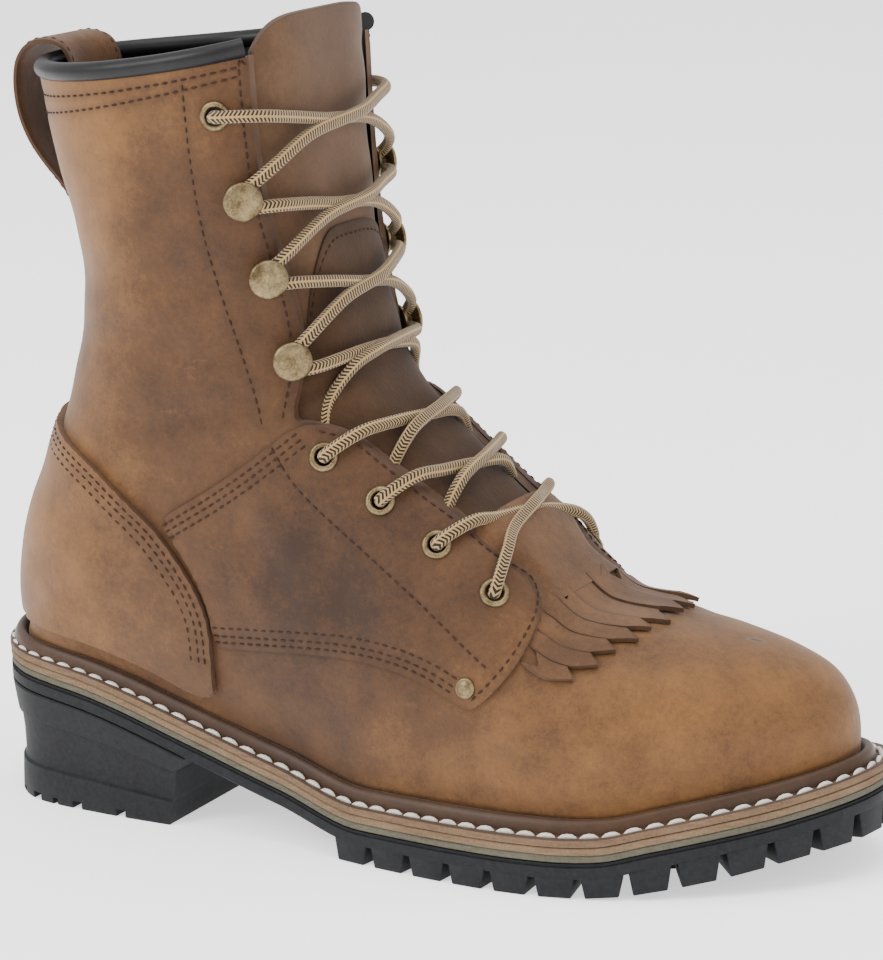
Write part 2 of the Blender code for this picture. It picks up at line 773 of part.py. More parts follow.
def centre_lugs(bm):
    """Pairs of slanted blocks down the middle of the forepart."""
    for k in range(8):
        x = (0.475 + 0.055 * k) * SOLE_LENGTH
        centre = float(smooth(OUTLINE, 1, x / SOLE_LENGTH)) * SOLE_WIDTH
        half = float(smooth(OUTLINE, 2, x / SOLE_LENGTH)) * SOLE_WIDTH
        half *= math.sin(math.acos(2.0 * x / SOLE_LENGTH - 1.0))
        reach = half - LUG_DEPTH - CHANNEL_WIDTH
        if reach < CHANNEL_WIDTH:
            continue
        slant = 0.004 if k % 2 else -0.004
        corners = []
        for is_root in (False, True):
            grow = 0.0006 if is_root else 0.0
            for dx, side in ((-0.0044 - grow, -1.0), (0.0044 + grow, -1.0), (0.0044 + grow, 1.0), (-0.0044 - grow, 1.0)):
                px = x + dx + slant * side
                z = float(base_under(px)) + LUG_SINK if is_root else float(tread_lift(px))
                corners.append((px, centre + side * reach, z))
        hexahedron(bm, corners)


def make_outsole():
    """Outsole: a base plate over the whole length with its forepart lugs joined on."""
    above = MIDSOLE_THICKNESS + FOAM_THICKNESS
    base = plate("outsole", "rubber_black", 0.0, 0.0, -above - GAP, -above - BASE_THICKNESS)
    bm = bmesh.new()
    outer = outline(GAP, 0.0, FINE_OUTLINE)
    inner = outline(LUG_DEPTH, 0.0, FINE_OUTLINE)
    half = FINE_OUTLINE // 2
    edge_lugs(bm, outer[:half], inner[:half], LUG_SHARE)
    edge_lugs(bm, np.roll(outer[::-1], 1, 0)[:half], np.roll(inner[::-1], 1, 0)[:half], LUG_SHARE)
    centre_lugs(bm)
    lugs = add_object("outsole_lugs", mesh_from("outsole_lugs", bm), None, "cutters")
    union = base.modifiers.new("lugs", "BOOLEAN")
    union.operation = "UNION"
    union.solver = "EXACT"
    union.use_self = True
    union.object = lugs
    settle(base)
    base.data.materials.clear()
    base.data.materials.append(material("rubber_black"))


def make_heel():
    """Heel block: concave at the back and breast, with steps round its side and tread bars."""
    bm = bmesh.new()
    count = 26
    turn = np.linspace(0.0, math.pi, count)
    levels = ((1.0, 0.0, 0.0), (0.72, HEEL_STEP, 0.004), (0.70, 2.2 * HEEL_STEP, 0.005), (0.30, 2.6 * HEEL_STEP, 0.007),
              (0.28, 1.6 * HEEL_STEP, 0.0072), (0.0, 1.2 * HEEL_STEP, 0.008))
    rings = []
    for share, inset, breast in levels:
        points = outline(inset, 0.0, FINE_OUTLINE)
        keep = points[points[:, 0] < HEEL_LENGTH + 0.008 - breast]
        keep = keep[np.argsort(np.unwrap(np.arctan2(keep[:, 1], keep[:, 0] - HEEL_LENGTH)) % (2.0 * math.pi))]
        runs = np.concatenate([[0.0], np.cumsum(np.linalg.norm(np.diff(keep, axis=0), axis=1))])
        spots = np.linspace(0.0, runs[-1], count)
        xs = np.interp(spots, runs, keep[:, 0])
        ys = np.interp(spots, runs, keep[:, 1])
        ring = []
        for x, y in zip(xs, ys):
            ring.append((x, y, share * (float(base_under(x)) - GAP)))
        rings.append(ring)
    loft(bm, rings, True, False)
    bm.verts.ensure_lookup_table()
    top = [bm.verts[i] for i in range(count)]
    low = [bm.verts[i + count * (len(levels) - 1)] for i in range(count)]
    for ring in (top, low):
        for j in range(count // 2 - 1):
            a, b = ring[j], ring[j + 1]
            c, d = ring[count - 2 - j], ring[count - 1 - j]
            bm.faces.new((a, b, c, d))
    heel = add_object("heel", mesh_from("heel", bm), "rubber_black")
    cutters = bmesh.new()
    for k in range(3):
        x = (0.26 + 0.24 * k) * HEEL_LENGTH
        wide = 0.6 * SOLE_WIDTH
        place = Matrix.Translation((x, 0.0, 0.0)) @ Matrix.Diagonal((0.0040, wide, 0.0060, 1.0))
        bmesh.ops.create_cube(cutters, size=1.0, matrix=place)
    grooves = add_object("heel_grooves", mesh_from("heel_grooves", cutters), None, "cutters")
    combine(heel, [grooves], "DIFFERENCE")
    heel.data.materials.clear()
    heel.data.materials.append(material("rubber_black"))


def make_sole():
    """All layers under the upper."""
    under = MIDSOLE_THICKNESS
    plate("midsole", "leather_stack", 0.0, 0.0, 0.0, -under)
    plate("midsole_rubber", "foam_grey", 0.0, 0.0, -under - GAP, -under - FOAM_THICKNESS)
    plate("insole", "insole_board", 2.0 * WALL, 1.0, SEAT + INSOLE_THICKNESS, SEAT)
    make_welt()
    make_outsole()
    make_heel()


def turned(name, finish, profile, steps, frame):
    """Turned piece: a profile of radius and height, spun about its axis by a Screw modifier."""
    mesh = bpy.data.meshes.new(name)
    closed = profile[0][0] > 0.0
    edges = [(i, i + 1) for i in range(len(profile) - 1)]
    if closed:
        edges.append((len(profile) - 1, 0))
    mesh.from_pydata([(r, 0.0, z) for r, z in profile], edges, [])
    shape = add_object(name, mesh, finish)
    screw = shape.modifiers.new("turn", "SCREW")
    screw.steps = steps
    screw.render_steps = steps
    screw.use_merge_vertices = True
    screw.merge_threshold = 0.00002
    settle(shape)
    bm = bmesh.new()
    bm.from_mesh(shape.data)
    bmesh.ops.recalc_face_normals(bm, faces=bm.faces)
    bm.to_mesh(shape.data)
    bm.free()
    smooth_shade(shape)
    shape.matrix_world = frame
    return shape


def stand_on(along, height, side, lift):
    """Frame on the upper's surface at a place of the side view, its Z axis outwards."""
    row, turn = on_upper(along, height, side)
    normal = upper_normal(row, turn)
    if normal.y * side < 0.0:
        normal = -normal
    spot = upper_point(row, turn) + normal * lift
    across = Vector((0.0, 0.0, 1.0)).cross(normal).normalized()
    up = normal.cross(across)
    frame = Matrix((across, up, normal)).transposed().to_4x4()
    frame.translation = spot
    return frame


def panel_lift(place):
    """Outer surface of what lies under a fitting: the quarter's face or the bare shaft."""
    return GAP + PANEL if place[1] < 0.5 else 0.0


def eyelet_frames():
    """Frames of the ten eyelets, from the top, outer side first."""
    frames = []
    for place in EYELETS:
        for side in (-1.0, 1.0):
            frames.append((place, side, stand_on(place[0], place[1], side, panel_lift(place))))
    return frames


def make_hardware(frames):
    """Eyelets, hooks and rivets, seated on the leather."""
    depth = WALL + GAP + PANEL
    profile = (
        (EYELET_HOLE, -depth),
        (EYELET_HOLE + EYELET_BARREL, -depth),
        (EYELET_HOLE + EYELET_BARREL, SEAT),
        (EYELET_FLANGE, SEAT),
        (0.5 * (EYELET_HOLE + EYELET_FLANGE), SEAT + EYELET_LIP),
        (EYELET_HOLE, 0.5 * EYELET_LIP),
    )
    for number, (place, side, frame) in enumerate(frames):
        label = "outer" if side < 0.0 else "inner"
        turned("eyelet_%s_%d" % (label, number // 2 + 1), "brass_aged", profile, TURNED_STEPS, frame)
    hook = (
        (0.0, SEAT),
        (HOOK_BASE, SEAT),
        (HOOK_BASE, SEAT + HOOK_PLATE),
        (HOOK_NECK, SEAT + 1.3 * HOOK_PLATE),
        (HOOK_NECK, HOOK_REACH),
        (HOOK_CAP, HOOK_REACH + 0.25 * HOOK_DOME),
        (0.75 * HOOK_CAP, HOOK_REACH + 0.8 * HOOK_DOME),
        (0.0, HOOK_REACH + HOOK_DOME),
    )
    for number, place in enumerate(HOOKS):
        for side, label in ((-1.0, "outer"), (1.0, "inner")):
            frame = stand_on(place[0], place[1], side, 0.0)
            turned("hook_%s_%d" % (label, number + 1), "brass_aged", hook, TURNED_STEPS, frame)
    rivet = ((0.0, SEAT), (RIVET_RADIUS, SEAT), (0.8 * RIVET_RADIUS, SEAT + 0.7 * RIVET_DOME), (0.0, SEAT + RIVET_DOME))
    for side, label in ((-1.0, "outer"), (1.0, "inner")):
        frame = stand_on(RIVET[0], RIVET[1], side, GAP + PANEL)
        turned("rivet_%s" % label, "brass_aged", rivet, TURNED_STEPS, frame)


def hole_cutters(frames):
    """Cylinders that open the eyelet holes through the leather."""
    bm = bmesh.new()
    for _, _, frame in frames:
        radius = EYELET_HOLE + EYELET_BARREL + GAP
        bmesh.ops.create_cone(bm, cap_ends=True, segments=TURNED_STEPS, radius1=radius, radius2=radius,
                              depth=8.0 * WALL, matrix=frame)
    return add_object("eyelet_holes", mesh_from("eyelet_holes", bm), None, "cutters")


def make_upper(holes):
    """Hollow upper, open at the collar, the throat and the sole, with its overlays."""
    last = len(SECTIONS)
    wide = SOLE_WIDTH
    throat = side_prism("throat", THROAT, -wide, wide)
    for name, rows in (("vamp", (0, VAMP_ROWS)), ("upper", (VAMP_ROWS, last))):
        shell = upper_shell(name, "leather_brown", rows, 0, 0.0, 0.0, WALL)
        combine(shell, [throat, holes], "DIFFERENCE")
        dress(shell, "leather_brown")
    lift = GAP + PANEL
    for side, label in ((-1.0, "outer"), (1.0, "inner")):
        quarter = upper_shell("quarter_" + label, "leather_brown", (6, last - 7), 1, side, lift, PANEL)
        form = side_prism("quarter_form_" + label, QUARTER, 0.0, side * wide)
        combine(quarter, [form], "INTERSECT")
        combine(quarter, [holes], "DIFFERENCE")
        dress(quarter, "leather_brown")
    counter = upper_shell("counter", "leather_brown", (11, last - 5), 0, 0.0, lift, PANEL)
    form = side_prism("counter_form", COUNTER, -wide, wide)
    combine(counter, [form], "INTERSECT")
    dress(counter, "leather_brown")


def dress(shape, finish):
    """One finish and smooth shading on a piece that was cut."""
    shape.data.materials.clear()
    shape.data.materials.append(material(finish))
    smooth_shade(shape)


def offset_point(row, turn, lift):
    """Point outside the upper's surface by lift, or inside it where lift is negative."""
    normal = upper_normal(row, turn)
    spot = upper_point(row, turn)
    inside = Vector((0.36 * SOLE_LENGTH, 0.0, 0.8 * HEEL_FEATHER))
    if row > 12.0:
        inside = Vector((0.25 * SOLE_LENGTH, 0.0, spot.z))
    if normal.dot(spot - inside) < 0.0:
        normal = -normal
    return spot + normal * lift


def add_sheet(name, finish, bm, wall, offset):
    """Open sheet given its thickness, as a finished object."""
    mesh = bpy.data.meshes.new(name)
    bm.to_mesh(mesh)
    bm.free()
    shape = add_object(name, mesh, finish)
    solid = shape.modifiers.new("wall", "SOLIDIFY")
    solid.thickness = wall
    solid.offset = offset
    settle(shape)
    smooth_shade(shape)
    return shape


def make_tongue():
    """Tongue, from under the vamp up past the collar."""
    last = len(SECTIONS) - 1.0
    depth = WALL + TONGUE_DEPTH + 0.5 * TONGUE_WALL
    rings = []
    shares = [j / 5.0 for j in range(-5, 6)]
    for row in list(np.linspace(TONGUE_ROOT, 13.0, 6)) + list(np.linspace(16.5, last, 6)):
        spread = float(smooth(TONGUE_SPREAD, 1, row))
        rings.append([offset_point(row, share * spread, -depth) for share in shares])
    top = rings[-1]
    for rise in (0.6, 1.0):
        ring = []
        for share, spot in zip(shares, top):
            cut = 1.0 - 0.5 * rise * abs(share) ** 3
            ring.append(spot + Vector((-0.02, 0.0, 1.0)) * (TONGUE_RISE * rise * cut))
        rings.append(ring)
    bm = bmesh.new()
    loft(bm, rings, False, False)
    add_sheet("tongue", "leather_tan", bm, TONGUE_WALL, 0.0)


def make_kiltie():
    """Fringed kiltie over the throat: one sheet slit into pointed locks."""
    pitch = 2.0 * KILTIE_SPREAD / LOCKS
    columns = []
    for k in range(LOCKS):
        start = -KILTIE_SPREAD + k * pitch
        for share, point in ((0.0, 0.0), (0.42, 1.0), (0.7, 0.5)):
            slit = LOCK_SLIT if share == 0.0 and 1 < k < LOCKS - 1 else 0.0
            columns.append((start + share * pitch + slit, point, 0))
        if 0 < k < LOCKS - 2:
            columns.append((start + pitch - LOCK_SLIT, 0.0, 1))
    columns.append((KILTIE_SPREAD, 0.0, 0))
    bm = bmesh.new()
    shares = (0.0, 0.3, LOCK_SLIT_START, 1.0)
    rings = []
    middle = KILTIE_LIFT + 0.5 * KILTIE_WALL
    for share in shares:
        ring = []
        for turn, point, _ in columns:
            front = KILTIE_FRONT + KILTIE_SWEEP * turn * turn - LOCK_POINT * point
            row = KILTIE_ROOT + (front - KILTIE_ROOT) * share
            ring.append(offset_point(row, turn, middle))
        rings.append(ring)
    grid = loft(bm, rings, False, False)
    slits = []
    for share, ring, after in zip(shares[1:], grid, grid[1:]):
        for j, (_, _, ends) in enumerate(columns[:-1]):
            if ends and share > LOCK_SLIT_START:
                slits.append(bm.faces.get((ring[j], ring[j + 1], after[j + 1], after[j])))
    bmesh.ops.delete(bm, geom=slits, context="FACES")
    kiltie = add_sheet("kiltie", "leather_tan", bm, KILTIE_WALL, 0.0)
    wide = SOLE_WIDTH
    combine(kiltie, [side_prism("kiltie_form", QUARTER_FRONT, -wide, wide)], "INTERSECT")
    dress(kiltie, "leather_tan")


def make_pull_strap():
    """Strap up the back seam that loops over the collar into the boot."""
    rows = np.linspace(STRAP_FOOT, STRAP_TOP, 5)
    middle = GAP + 0.5 * STRAP_WALL
    half = 0.5 * STRAP_WIDTH
    shares = (-1.0, -0.5, 0.0, 0.5, 1.0)
    stations = []
    for row in rows:
        spot = offset_point(row, 1.0, middle)
        stations.append((spot.x, spot.z, 1.0))
    back = upper_point(len(SECTIONS) - 1.0, 1.0)
    for behind, above, wrap in LOOP:
        stations.append((back.x - behind * LOOP_DEPTH, back.z + above * LOOP_HEIGHT, wrap))
    rings = []
    for x, z, wrap in stations:
        ring = []
        for share in shares:
            bend = STRAP_WRAP * wrap * share * share
            ring.append((x + bend, share * half, z))
        rings.append(ring)
    bm = bmesh.new()
    loft(bm, rings, False, False)
    add_sheet("pull_strap", "leather_brown", bm, STRAP_WALL, 0.0)


def make_laces():
    """Seven crossings of the lace over the tongue, each two runs of cord joined where they cross."""
    radius = 0.5 * LACE_DIAMETER
    for number, (low, high, low_turn, high_turn, over_kiltie) in enumerate(CROSSINGS):
        lift = radius + LACE_LIFT - WALL - TONGUE_DEPTH
        if over_kiltie:
            lift = radius + KILTIE_LIFT + KILTIE_WALL + SEAT
        runs = []
        for side in (-1.0, 1.0):
            curve = bpy.data.curves.new("lace_run", "CURVE")
            curve.dimensions = "3D"
            curve.bevel_depth = radius
            curve.bevel_resolution = 1
            curve.use_fill_caps = True
            spline = curve.splines.new("POLY")
            count = 4
            spline.points.add(count - 1)
            for k in range(count):
                share = k / (count - 1)
                turn = side * (-low_turn + (low_turn + high_turn) * share)
                row = low + (high - low) * share
                over = LACE_CROSS if side > 0.0 and 0 < k < count - 1 else 0.0
                spot = offset_point(row, turn, lift + over)
                spline.points[k].co = (spot.x, spot.y, spot.z, 1.0)
            run = bpy.data.objects.new("lace_run", curve)
            bpy.data.collections["cutters"].objects.link(run)
            mesh = evaluated_curve(run)
            bpy.data.objects.remove(run)
            runs.append(mesh)
        cross = add_object("lace_crossing_%d" % (number + 1), runs[0], "lace_fabric")
        other = add_object("lace_other_%d" % (number + 1), runs[1], None, "cutters")
        combine(cross, [other], "UNION")
        dress(cross, "lace_fabric")


def evaluated_curve(shape):
    """Closed mesh of a bevelled curve with its caps welded on."""
    bpy.context.view_layer.update()
    graph = bpy.context.evaluated_depsgraph_get()
    mesh = bpy.data.meshes.new_from_object(shape.evaluated_get(graph))
    bm = bmesh.new()
    bm.from_mesh(mesh)
    bmesh.ops.remove_doubles(bm, verts=bm.verts, dist=0.00002)
    bmesh.ops.recalc_face_normals(bm, faces=bm.faces)
    bm.to_mesh(mesh)
    bm.free()
    return mesh


def make_collar_roll():
    """Padded roll round the collar, a groove on its underside over the wall's edge."""
    steps = FRONT_STEPS + SIDE_STEPS
    last = len(SECTIONS) - 1.0
    start = on_upper(0.3885, 1.03, -1.0)[1]
    turns = np.linspace(start, -1.0, 12)
    path = []
    for turn in list(turns) + [-value for value in turns[::-1][1:]]:
        spot = upper_point(last, turn)
        normal = upper_normal(last, turn if abs(turn) < 0.999 else math.copysign(0.999, turn))
        normal.z = 0.0
        normal.normalize()
        if normal.dot(spot - Vector((0.25 * SOLE_LENGTH, 0.0, spot.z))) < 0.0:
            normal = -normal
        path.append(spot - normal * (0.5 * WALL) + Vector((0.0, 0.0, ROLL_RADIUS + GAP)))
    rings = []
    for i, spot in enumerate(path):
        ahead = (path[min(i + 1, len(path) - 1)] - path[max(i - 1, 0)]).normalized()
        out = ahead.cross(Vector((0.0, 0.0, 1.0))).normalized()
        up = out.cross(ahead)
        ring = []
        for k in range(8):
            angle = 2.0 * math.pi * k / 8 + math.pi / 8
            ring.append(spot + (out * math.cos(angle) + up * math.sin(angle)) * ROLL_RADIUS)
        rings.append(ring)
    bm = bmesh.new()
    loft(bm, rings, True, True)
    shape = add_object("collar_roll", mesh_from("collar_roll", bm), "leather_black")
    smooth_shade(shape, 1.0)


def centre_boot():
    """Moves every piece so that the origin lies on the floor, in the middle of the sole's outline."""
    points = outline(0.0, 0.0, OUTLINE_POINTS)
    across = 0.5 * (points[:, 1].max() + points[:, 1].min())
    shift = Matrix.Translation((-0.5 * SOLE_LENGTH, -float(across), 0.0))
    for shape in bpy.data.objects:
        shape.matrix_world = shift @ shape.matrix_world


def main():
    """Builds the boot."""
    for old in list(bpy.data.objects):
        bpy.data.objects.remove(old, do_unlink=True)
    for label in ("logger_boot", "cutters"):
        group = bpy.data.collections.new(label)
        bpy.context.scene.collection.children.link(group)
    make_sole()
    frames = eyelet_frames()
    holes = hole_cutters(frames)
    make_upper(holes)
    make_tongue()
    make_kiltie()
    make_collar_roll()
    make_pull_strap()
    make_laces()
    make_hardware(frames)
    centre_boot()


main()
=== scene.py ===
"""Looks of the logger boot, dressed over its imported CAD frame.

The leather pieces are lofted again, finer, from the sections that the frame was built with, and lie
on it layer over layer. All places are worked out in the boot's own axes, with X from the heel's back
towards the toe, and one shift brings them into the row frame.
"""

import json
import logging
import math
from dataclasses import dataclass
from enum import Enum
from typing import Iterable, Optional, Sequence, Union

import bmesh
import bpy
import numpy as np
from mathutils import Matrix, Vector, noise
from mathutils.kdtree import KDTree

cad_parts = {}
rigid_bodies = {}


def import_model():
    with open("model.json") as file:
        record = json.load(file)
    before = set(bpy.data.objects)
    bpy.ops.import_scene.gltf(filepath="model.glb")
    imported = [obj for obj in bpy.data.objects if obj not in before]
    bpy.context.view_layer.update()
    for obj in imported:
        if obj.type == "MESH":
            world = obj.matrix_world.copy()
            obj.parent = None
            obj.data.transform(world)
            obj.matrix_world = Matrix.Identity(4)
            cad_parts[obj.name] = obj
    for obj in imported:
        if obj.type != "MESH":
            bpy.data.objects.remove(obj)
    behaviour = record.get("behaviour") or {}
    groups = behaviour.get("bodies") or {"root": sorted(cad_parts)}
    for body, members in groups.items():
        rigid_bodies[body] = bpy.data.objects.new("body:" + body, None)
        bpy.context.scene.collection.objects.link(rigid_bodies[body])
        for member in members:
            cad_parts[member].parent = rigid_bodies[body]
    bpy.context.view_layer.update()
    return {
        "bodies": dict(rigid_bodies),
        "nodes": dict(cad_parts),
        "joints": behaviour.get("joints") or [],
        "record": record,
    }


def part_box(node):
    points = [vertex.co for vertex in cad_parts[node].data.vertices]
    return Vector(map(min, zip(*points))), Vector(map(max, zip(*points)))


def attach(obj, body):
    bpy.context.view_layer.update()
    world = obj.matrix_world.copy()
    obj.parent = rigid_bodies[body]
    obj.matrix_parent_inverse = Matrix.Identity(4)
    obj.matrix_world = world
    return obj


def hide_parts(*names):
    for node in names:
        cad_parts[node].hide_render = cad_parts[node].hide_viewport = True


LOG = logging.getLogger("logger_boot")
MM = 0.001
BODY = "root"

# Sizes shared with the frame
SOLE_LENGTH = 312.0 * MM
SOLE_WIDTH = 109.6 * MM
FOREPART_HEIGHT = 16.4 * MM
HEEL_RISE = 35.6 * MM
TOE_RISE = 15.6 * MM
WELT_THICKNESS = 3.0 * MM
MIDSOLE_THICKNESS = 2.4 * MM
FOAM_THICKNESS = 2.4 * MM
BASE_THICKNESS = 5.4 * MM
BEAD_HEIGHT = 4.2 * MM
BEAD_WIDTH = 5.0 * MM
HEEL_LENGTH = 78.0 * MM
SHAFT_HEIGHT = 192.7 * MM
SHAFT_WIDTH = 98.0 * MM
WALL = 2.5 * MM
PANEL = 1.4 * MM
COUNTER_WALL = 1.7 * PANEL
GAP = 0.3 * MM
SEAT = 0.6 * MM
COLLAR_DIP = 3.0 * MM
ROLL_RADIUS = 4.0 * MM
ROLL_SEEN = 0.78 * ROLL_RADIUS
ROLL_RISE = 0.72 * ROLL_RADIUS
TONGUE_WALL = 2.6 * MM
TONGUE_DEPTH = 0.8 * MM
TONGUE_RISE = 10.5 * MM
STRAP_WIDTH = 30.0 * MM
STRAP_WALL = 2.2 * MM
STRAP_WRAP = 2.6 * MM
LACE_RADIUS = 2.1 * MM
FRONT_STEPS = 6
SIDE_STEPS = 4

# along, centre, roundness of the sole's outline
OUTLINE = (
    (0.000, 0.000, 0.748), (0.016, 0.000, 0.730), (0.048, 0.000, 0.665), (0.096, 0.000, 0.565),
    (0.147, -0.003, 0.493), (0.282, -0.016, 0.403), (0.388, -0.027, 0.374), (0.503, -0.046, 0.420),
    (0.609, -0.036, 0.486), (0.692, -0.020, 0.542), (0.769, 0.000, 0.579), (0.827, 0.023, 0.591),
    (0.881, 0.050, 0.599), (0.930, 0.073, 0.606), (0.962, 0.091, 0.617), (1.000, 0.100, 0.620),
)
# along, share of the heel rise, share of the toe rise
LIFT = (
    (0.000, 1.000, 0.000), (0.147, 0.831, 0.000), (0.285, 0.494, 0.000), (0.388, 0.213, 0.000),
    (0.503, 0.000, 0.000), (0.720, 0.000, 0.000), (0.769, 0.000, 0.038), (0.824, 0.000, 0.263),
    (0.881, 0.000, 0.487), (0.930, 0.000, 0.680), (1.000, 0.000, 1.000),
)
# along, share of the toe rise
SPRING = ((0.720, 0.000), (0.769, 0.030), (0.865, 0.308), (0.955, 0.705), (1.000, 0.860))
# along, share of the sole width
MARGIN = (
    (0.000, 0.059), (0.147, 0.068), (0.282, 0.078), (0.503, 0.087), (0.692, 0.096), (0.827, 0.096),
    (1.000, 0.091),
)
# front, height, low, back set, back rise, half width, flare, belly, squareness, ridge
SECTIONS = (
    (0.0000, 0.042, 0.0000, 0.000, 0.000, 0.000, 0.000, 0.55, 2.00, 0.100),
    (0.0012, 0.070, 0.0014, 0.000, 0.000, 0.000, 0.004, 0.58, 2.02, 0.100),
    (0.0061, 0.101, 0.0068, 0.000, 0.000, 0.000, 0.009, 0.60, 2.05, 0.098),
    (0.0170, 0.132, 0.0186, 0.000, 0.000, 0.000, 0.014, 0.62, 2.10, 0.092),
    (0.0390, 0.172, 0.0406, 0.000, 0.000, 0.000, 0.020, 0.62, 2.15, 0.082),
    (0.0778, 0.211, 0.0778, 0.000, 0.000, 0.000, 0.026, 0.61, 2.20, 0.064),
    (0.1354, 0.254, 0.1421, 0.000, 0.000, 0.000, 0.030, 0.59, 2.30, 0.040),
    (0.2098, 0.298, 0.2234, 0.000, 0.000, 0.000, 0.034, 0.57, 2.40, 0.020),
    (0.2640, 0.313, 0.3046, 0.000, 0.000, 0.000, 0.034, 0.57, 2.60, 0.008),
    (0.3147, 0.377, 0.3858, 0.000, 0.000, 0.440, 0.030, 0.56, 2.80, 0.000),
    (0.3655, 0.461, 0.4738, 0.000, 0.000, 0.435, 0.030, 0.55, 3.00, 0.000),
    (0.4196, 0.508, 0.5685, 0.000, 0.000, 0.432, 0.030, 0.53, 3.10, 0.000),
    (0.4687, 0.530, 0.6701, 0.000, 0.000, 0.436, 0.030, 0.51, 3.20, 0.000),
    (0.5042, 0.538, 0.7716, 0.000, 0.000, 0.440, 0.030, 0.49, 3.20, 0.000),
    (0.5228, 0.544, 0.8663, 0.000, 0.000, 0.444, 0.030, 0.47, 3.20, 0.000),
    (0.5296, 0.546, 0.9272, 0.000, 0.000, 0.446, 0.030, 0.46, 3.20, 0.000),
    (0.5330, 0.550, 0.9679, 0.000, 0.000, 0.448, 0.030, 0.45, 3.20, 0.000),
    (0.5347, 0.556, 0.9882, 0.000, 0.000, 0.448, 0.030, 0.45, 3.20, 0.000),
    (0.5364, 0.566, 1.0000, 0.000, 0.000, 0.450, 0.030, 0.45, 3.20, 0.000),
    (0.5415, 0.608, 1.0000, -0.003, 0.058, 0.452, 0.030, 0.45, 3.20, 0.000),
    (0.5482, 0.639, 1.0000, 0.005, 0.141, 0.456, 0.030, 0.45, 3.20, 0.000),
    (0.5550, 0.678, 1.0000, 0.024, 0.224, 0.460, 0.030, 0.45, 3.20, 0.000),
    (0.5618, 0.722, 1.0000, 0.051, 0.318, 0.466, 0.030, 0.46, 3.25, 0.000),
    (0.5679, 0.772, 1.0000, 0.081, 0.421, 0.472, 0.030, 0.47, 3.30, 0.000),
    (0.5726, 0.826, 1.0000, 0.104, 0.530, 0.480, 0.030, 0.48, 3.35, 0.000),
    (0.5760, 0.883, 1.0000, 0.115, 0.634, 0.486, 0.030, 0.49, 3.40, 0.000),
    (0.5780, 0.940, 1.0000, 0.107, 0.735, 0.492, 0.030, 0.50, 3.45, 0.000),
    (0.5787, 0.992, 1.0000, 0.090, 0.831, 0.496, 0.030, 0.50, 3.50, 0.000),
    (0.5787, 1.030, 1.0000, 0.077, 0.925, 0.500, 0.030, 0.50, 3.50, 0.000),
    (0.5787, 1.060, 1.0000, 0.069, 1.000, 0.500, 0.030, 0.50, 3.50, 0.000),
)
LAST_ROW = len(SECTIONS) - 1.0

# Side views of the panels: along the sole, height over the heel's feather edge
THROAT = (
    (0.5000, 1.180), (0.3890, 1.080), (0.3906, 1.030), (0.3920, 0.930), (0.3969, 0.817), (0.4100, 0.700),
    (0.4242, 0.598), (0.4250, 0.520), (0.4193, 0.448), (0.4400, 0.449), (0.4760, 0.430), (0.5322, 0.359),
    (0.5905, 0.289), (0.6500, 0.212), (0.6700, 0.180), (0.7000, 0.160), (0.7300, 0.210), (0.7000, 0.420),
    (0.6000, 0.800),
)
QUARTER_LOWER = (
    (0.3250, 0.052), (0.3709, 0.057), (0.4300, 0.063), (0.4907, 0.066), (0.5400, 0.058), (0.5768, 0.043),
    (0.6100, 0.018), (0.6280, 0.005),
)
QUARTER_TIP = (
    (0.6400, 0.010), (0.6613, 0.044), (0.6760, 0.075), (0.6844, 0.106), (0.6860, 0.142), (0.6763, 0.173),
)
QUARTER_FACING = (
    (0.6517, 0.216), (0.5905, 0.291), (0.5322, 0.361), (0.4900, 0.415), (0.4762, 0.432), (0.4487, 0.446),
)
QUARTER_TOP = (
    (0.4250, 0.440), (0.3940, 0.400), (0.3533, 0.352), (0.3060, 0.305), (0.2660, 0.268),
)
QUARTER_BACK = ((0.2880, 0.222), (0.3120, 0.162), (0.3225, 0.110))
QUARTER = QUARTER_LOWER + QUARTER_TIP + QUARTER_FACING + QUARTER_TOP + QUARTER_BACK
COUNTER_EDGE = (
    (0.106, 0.414), (0.180, 0.362), (0.2216, 0.305), (0.2585, 0.257), (0.2850, 0.206), (0.3040, 0.162),
    (0.3165, 0.121), (0.3210, 0.075), (0.3190, 0.020),
)
COUNTER = ((-0.080, 0.500), (0.020, 0.450)) + COUNTER_EDGE + (
    (0.3150, -0.060), (0.2200, 0.000), (0.1200, 0.036), (0.0000, 0.050), (-0.080, 0.056),
)
EYELETS = ((0.3605, 0.956), (0.4573, 0.392), (0.5180, 0.323), (0.5788, 0.255), (0.6406, 0.182))
HOOKS = ((0.3819, 0.819), (0.3982, 0.688), (0.4183, 0.549))
RIVET = (0.6285, 0.040)

# Relief of the worn leather, placed in the side view: points, depth in mm, width in mm
CREASES = (
    (((0.150, 0.560), (0.220, 0.590), (0.300, 0.560)), 0.55, 7.0),
    (((0.170, 0.680), (0.250, 0.660), (0.330, 0.690)), 0.45, 8.0),
    (((0.240, 0.420), (0.300, 0.440), (0.370, 0.480)), 0.60, 5.0),
    (((0.330, 0.300), (0.380, 0.250), (0.410, 0.180)), 0.50, 6.0),
    (((0.440, 0.300), (0.480, 0.230), (0.490, 0.150)), 0.45, 7.0),
    (((0.560, 0.160), (0.600, 0.130), (0.630, 0.120)), 0.35, 5.0),
    (((0.700, 0.110), (0.740, 0.080), (0.770, 0.030)), 0.30, 6.0),
    (((0.060, 0.330), (0.130, 0.280), (0.200, 0.230)), 0.35, 9.0),
)
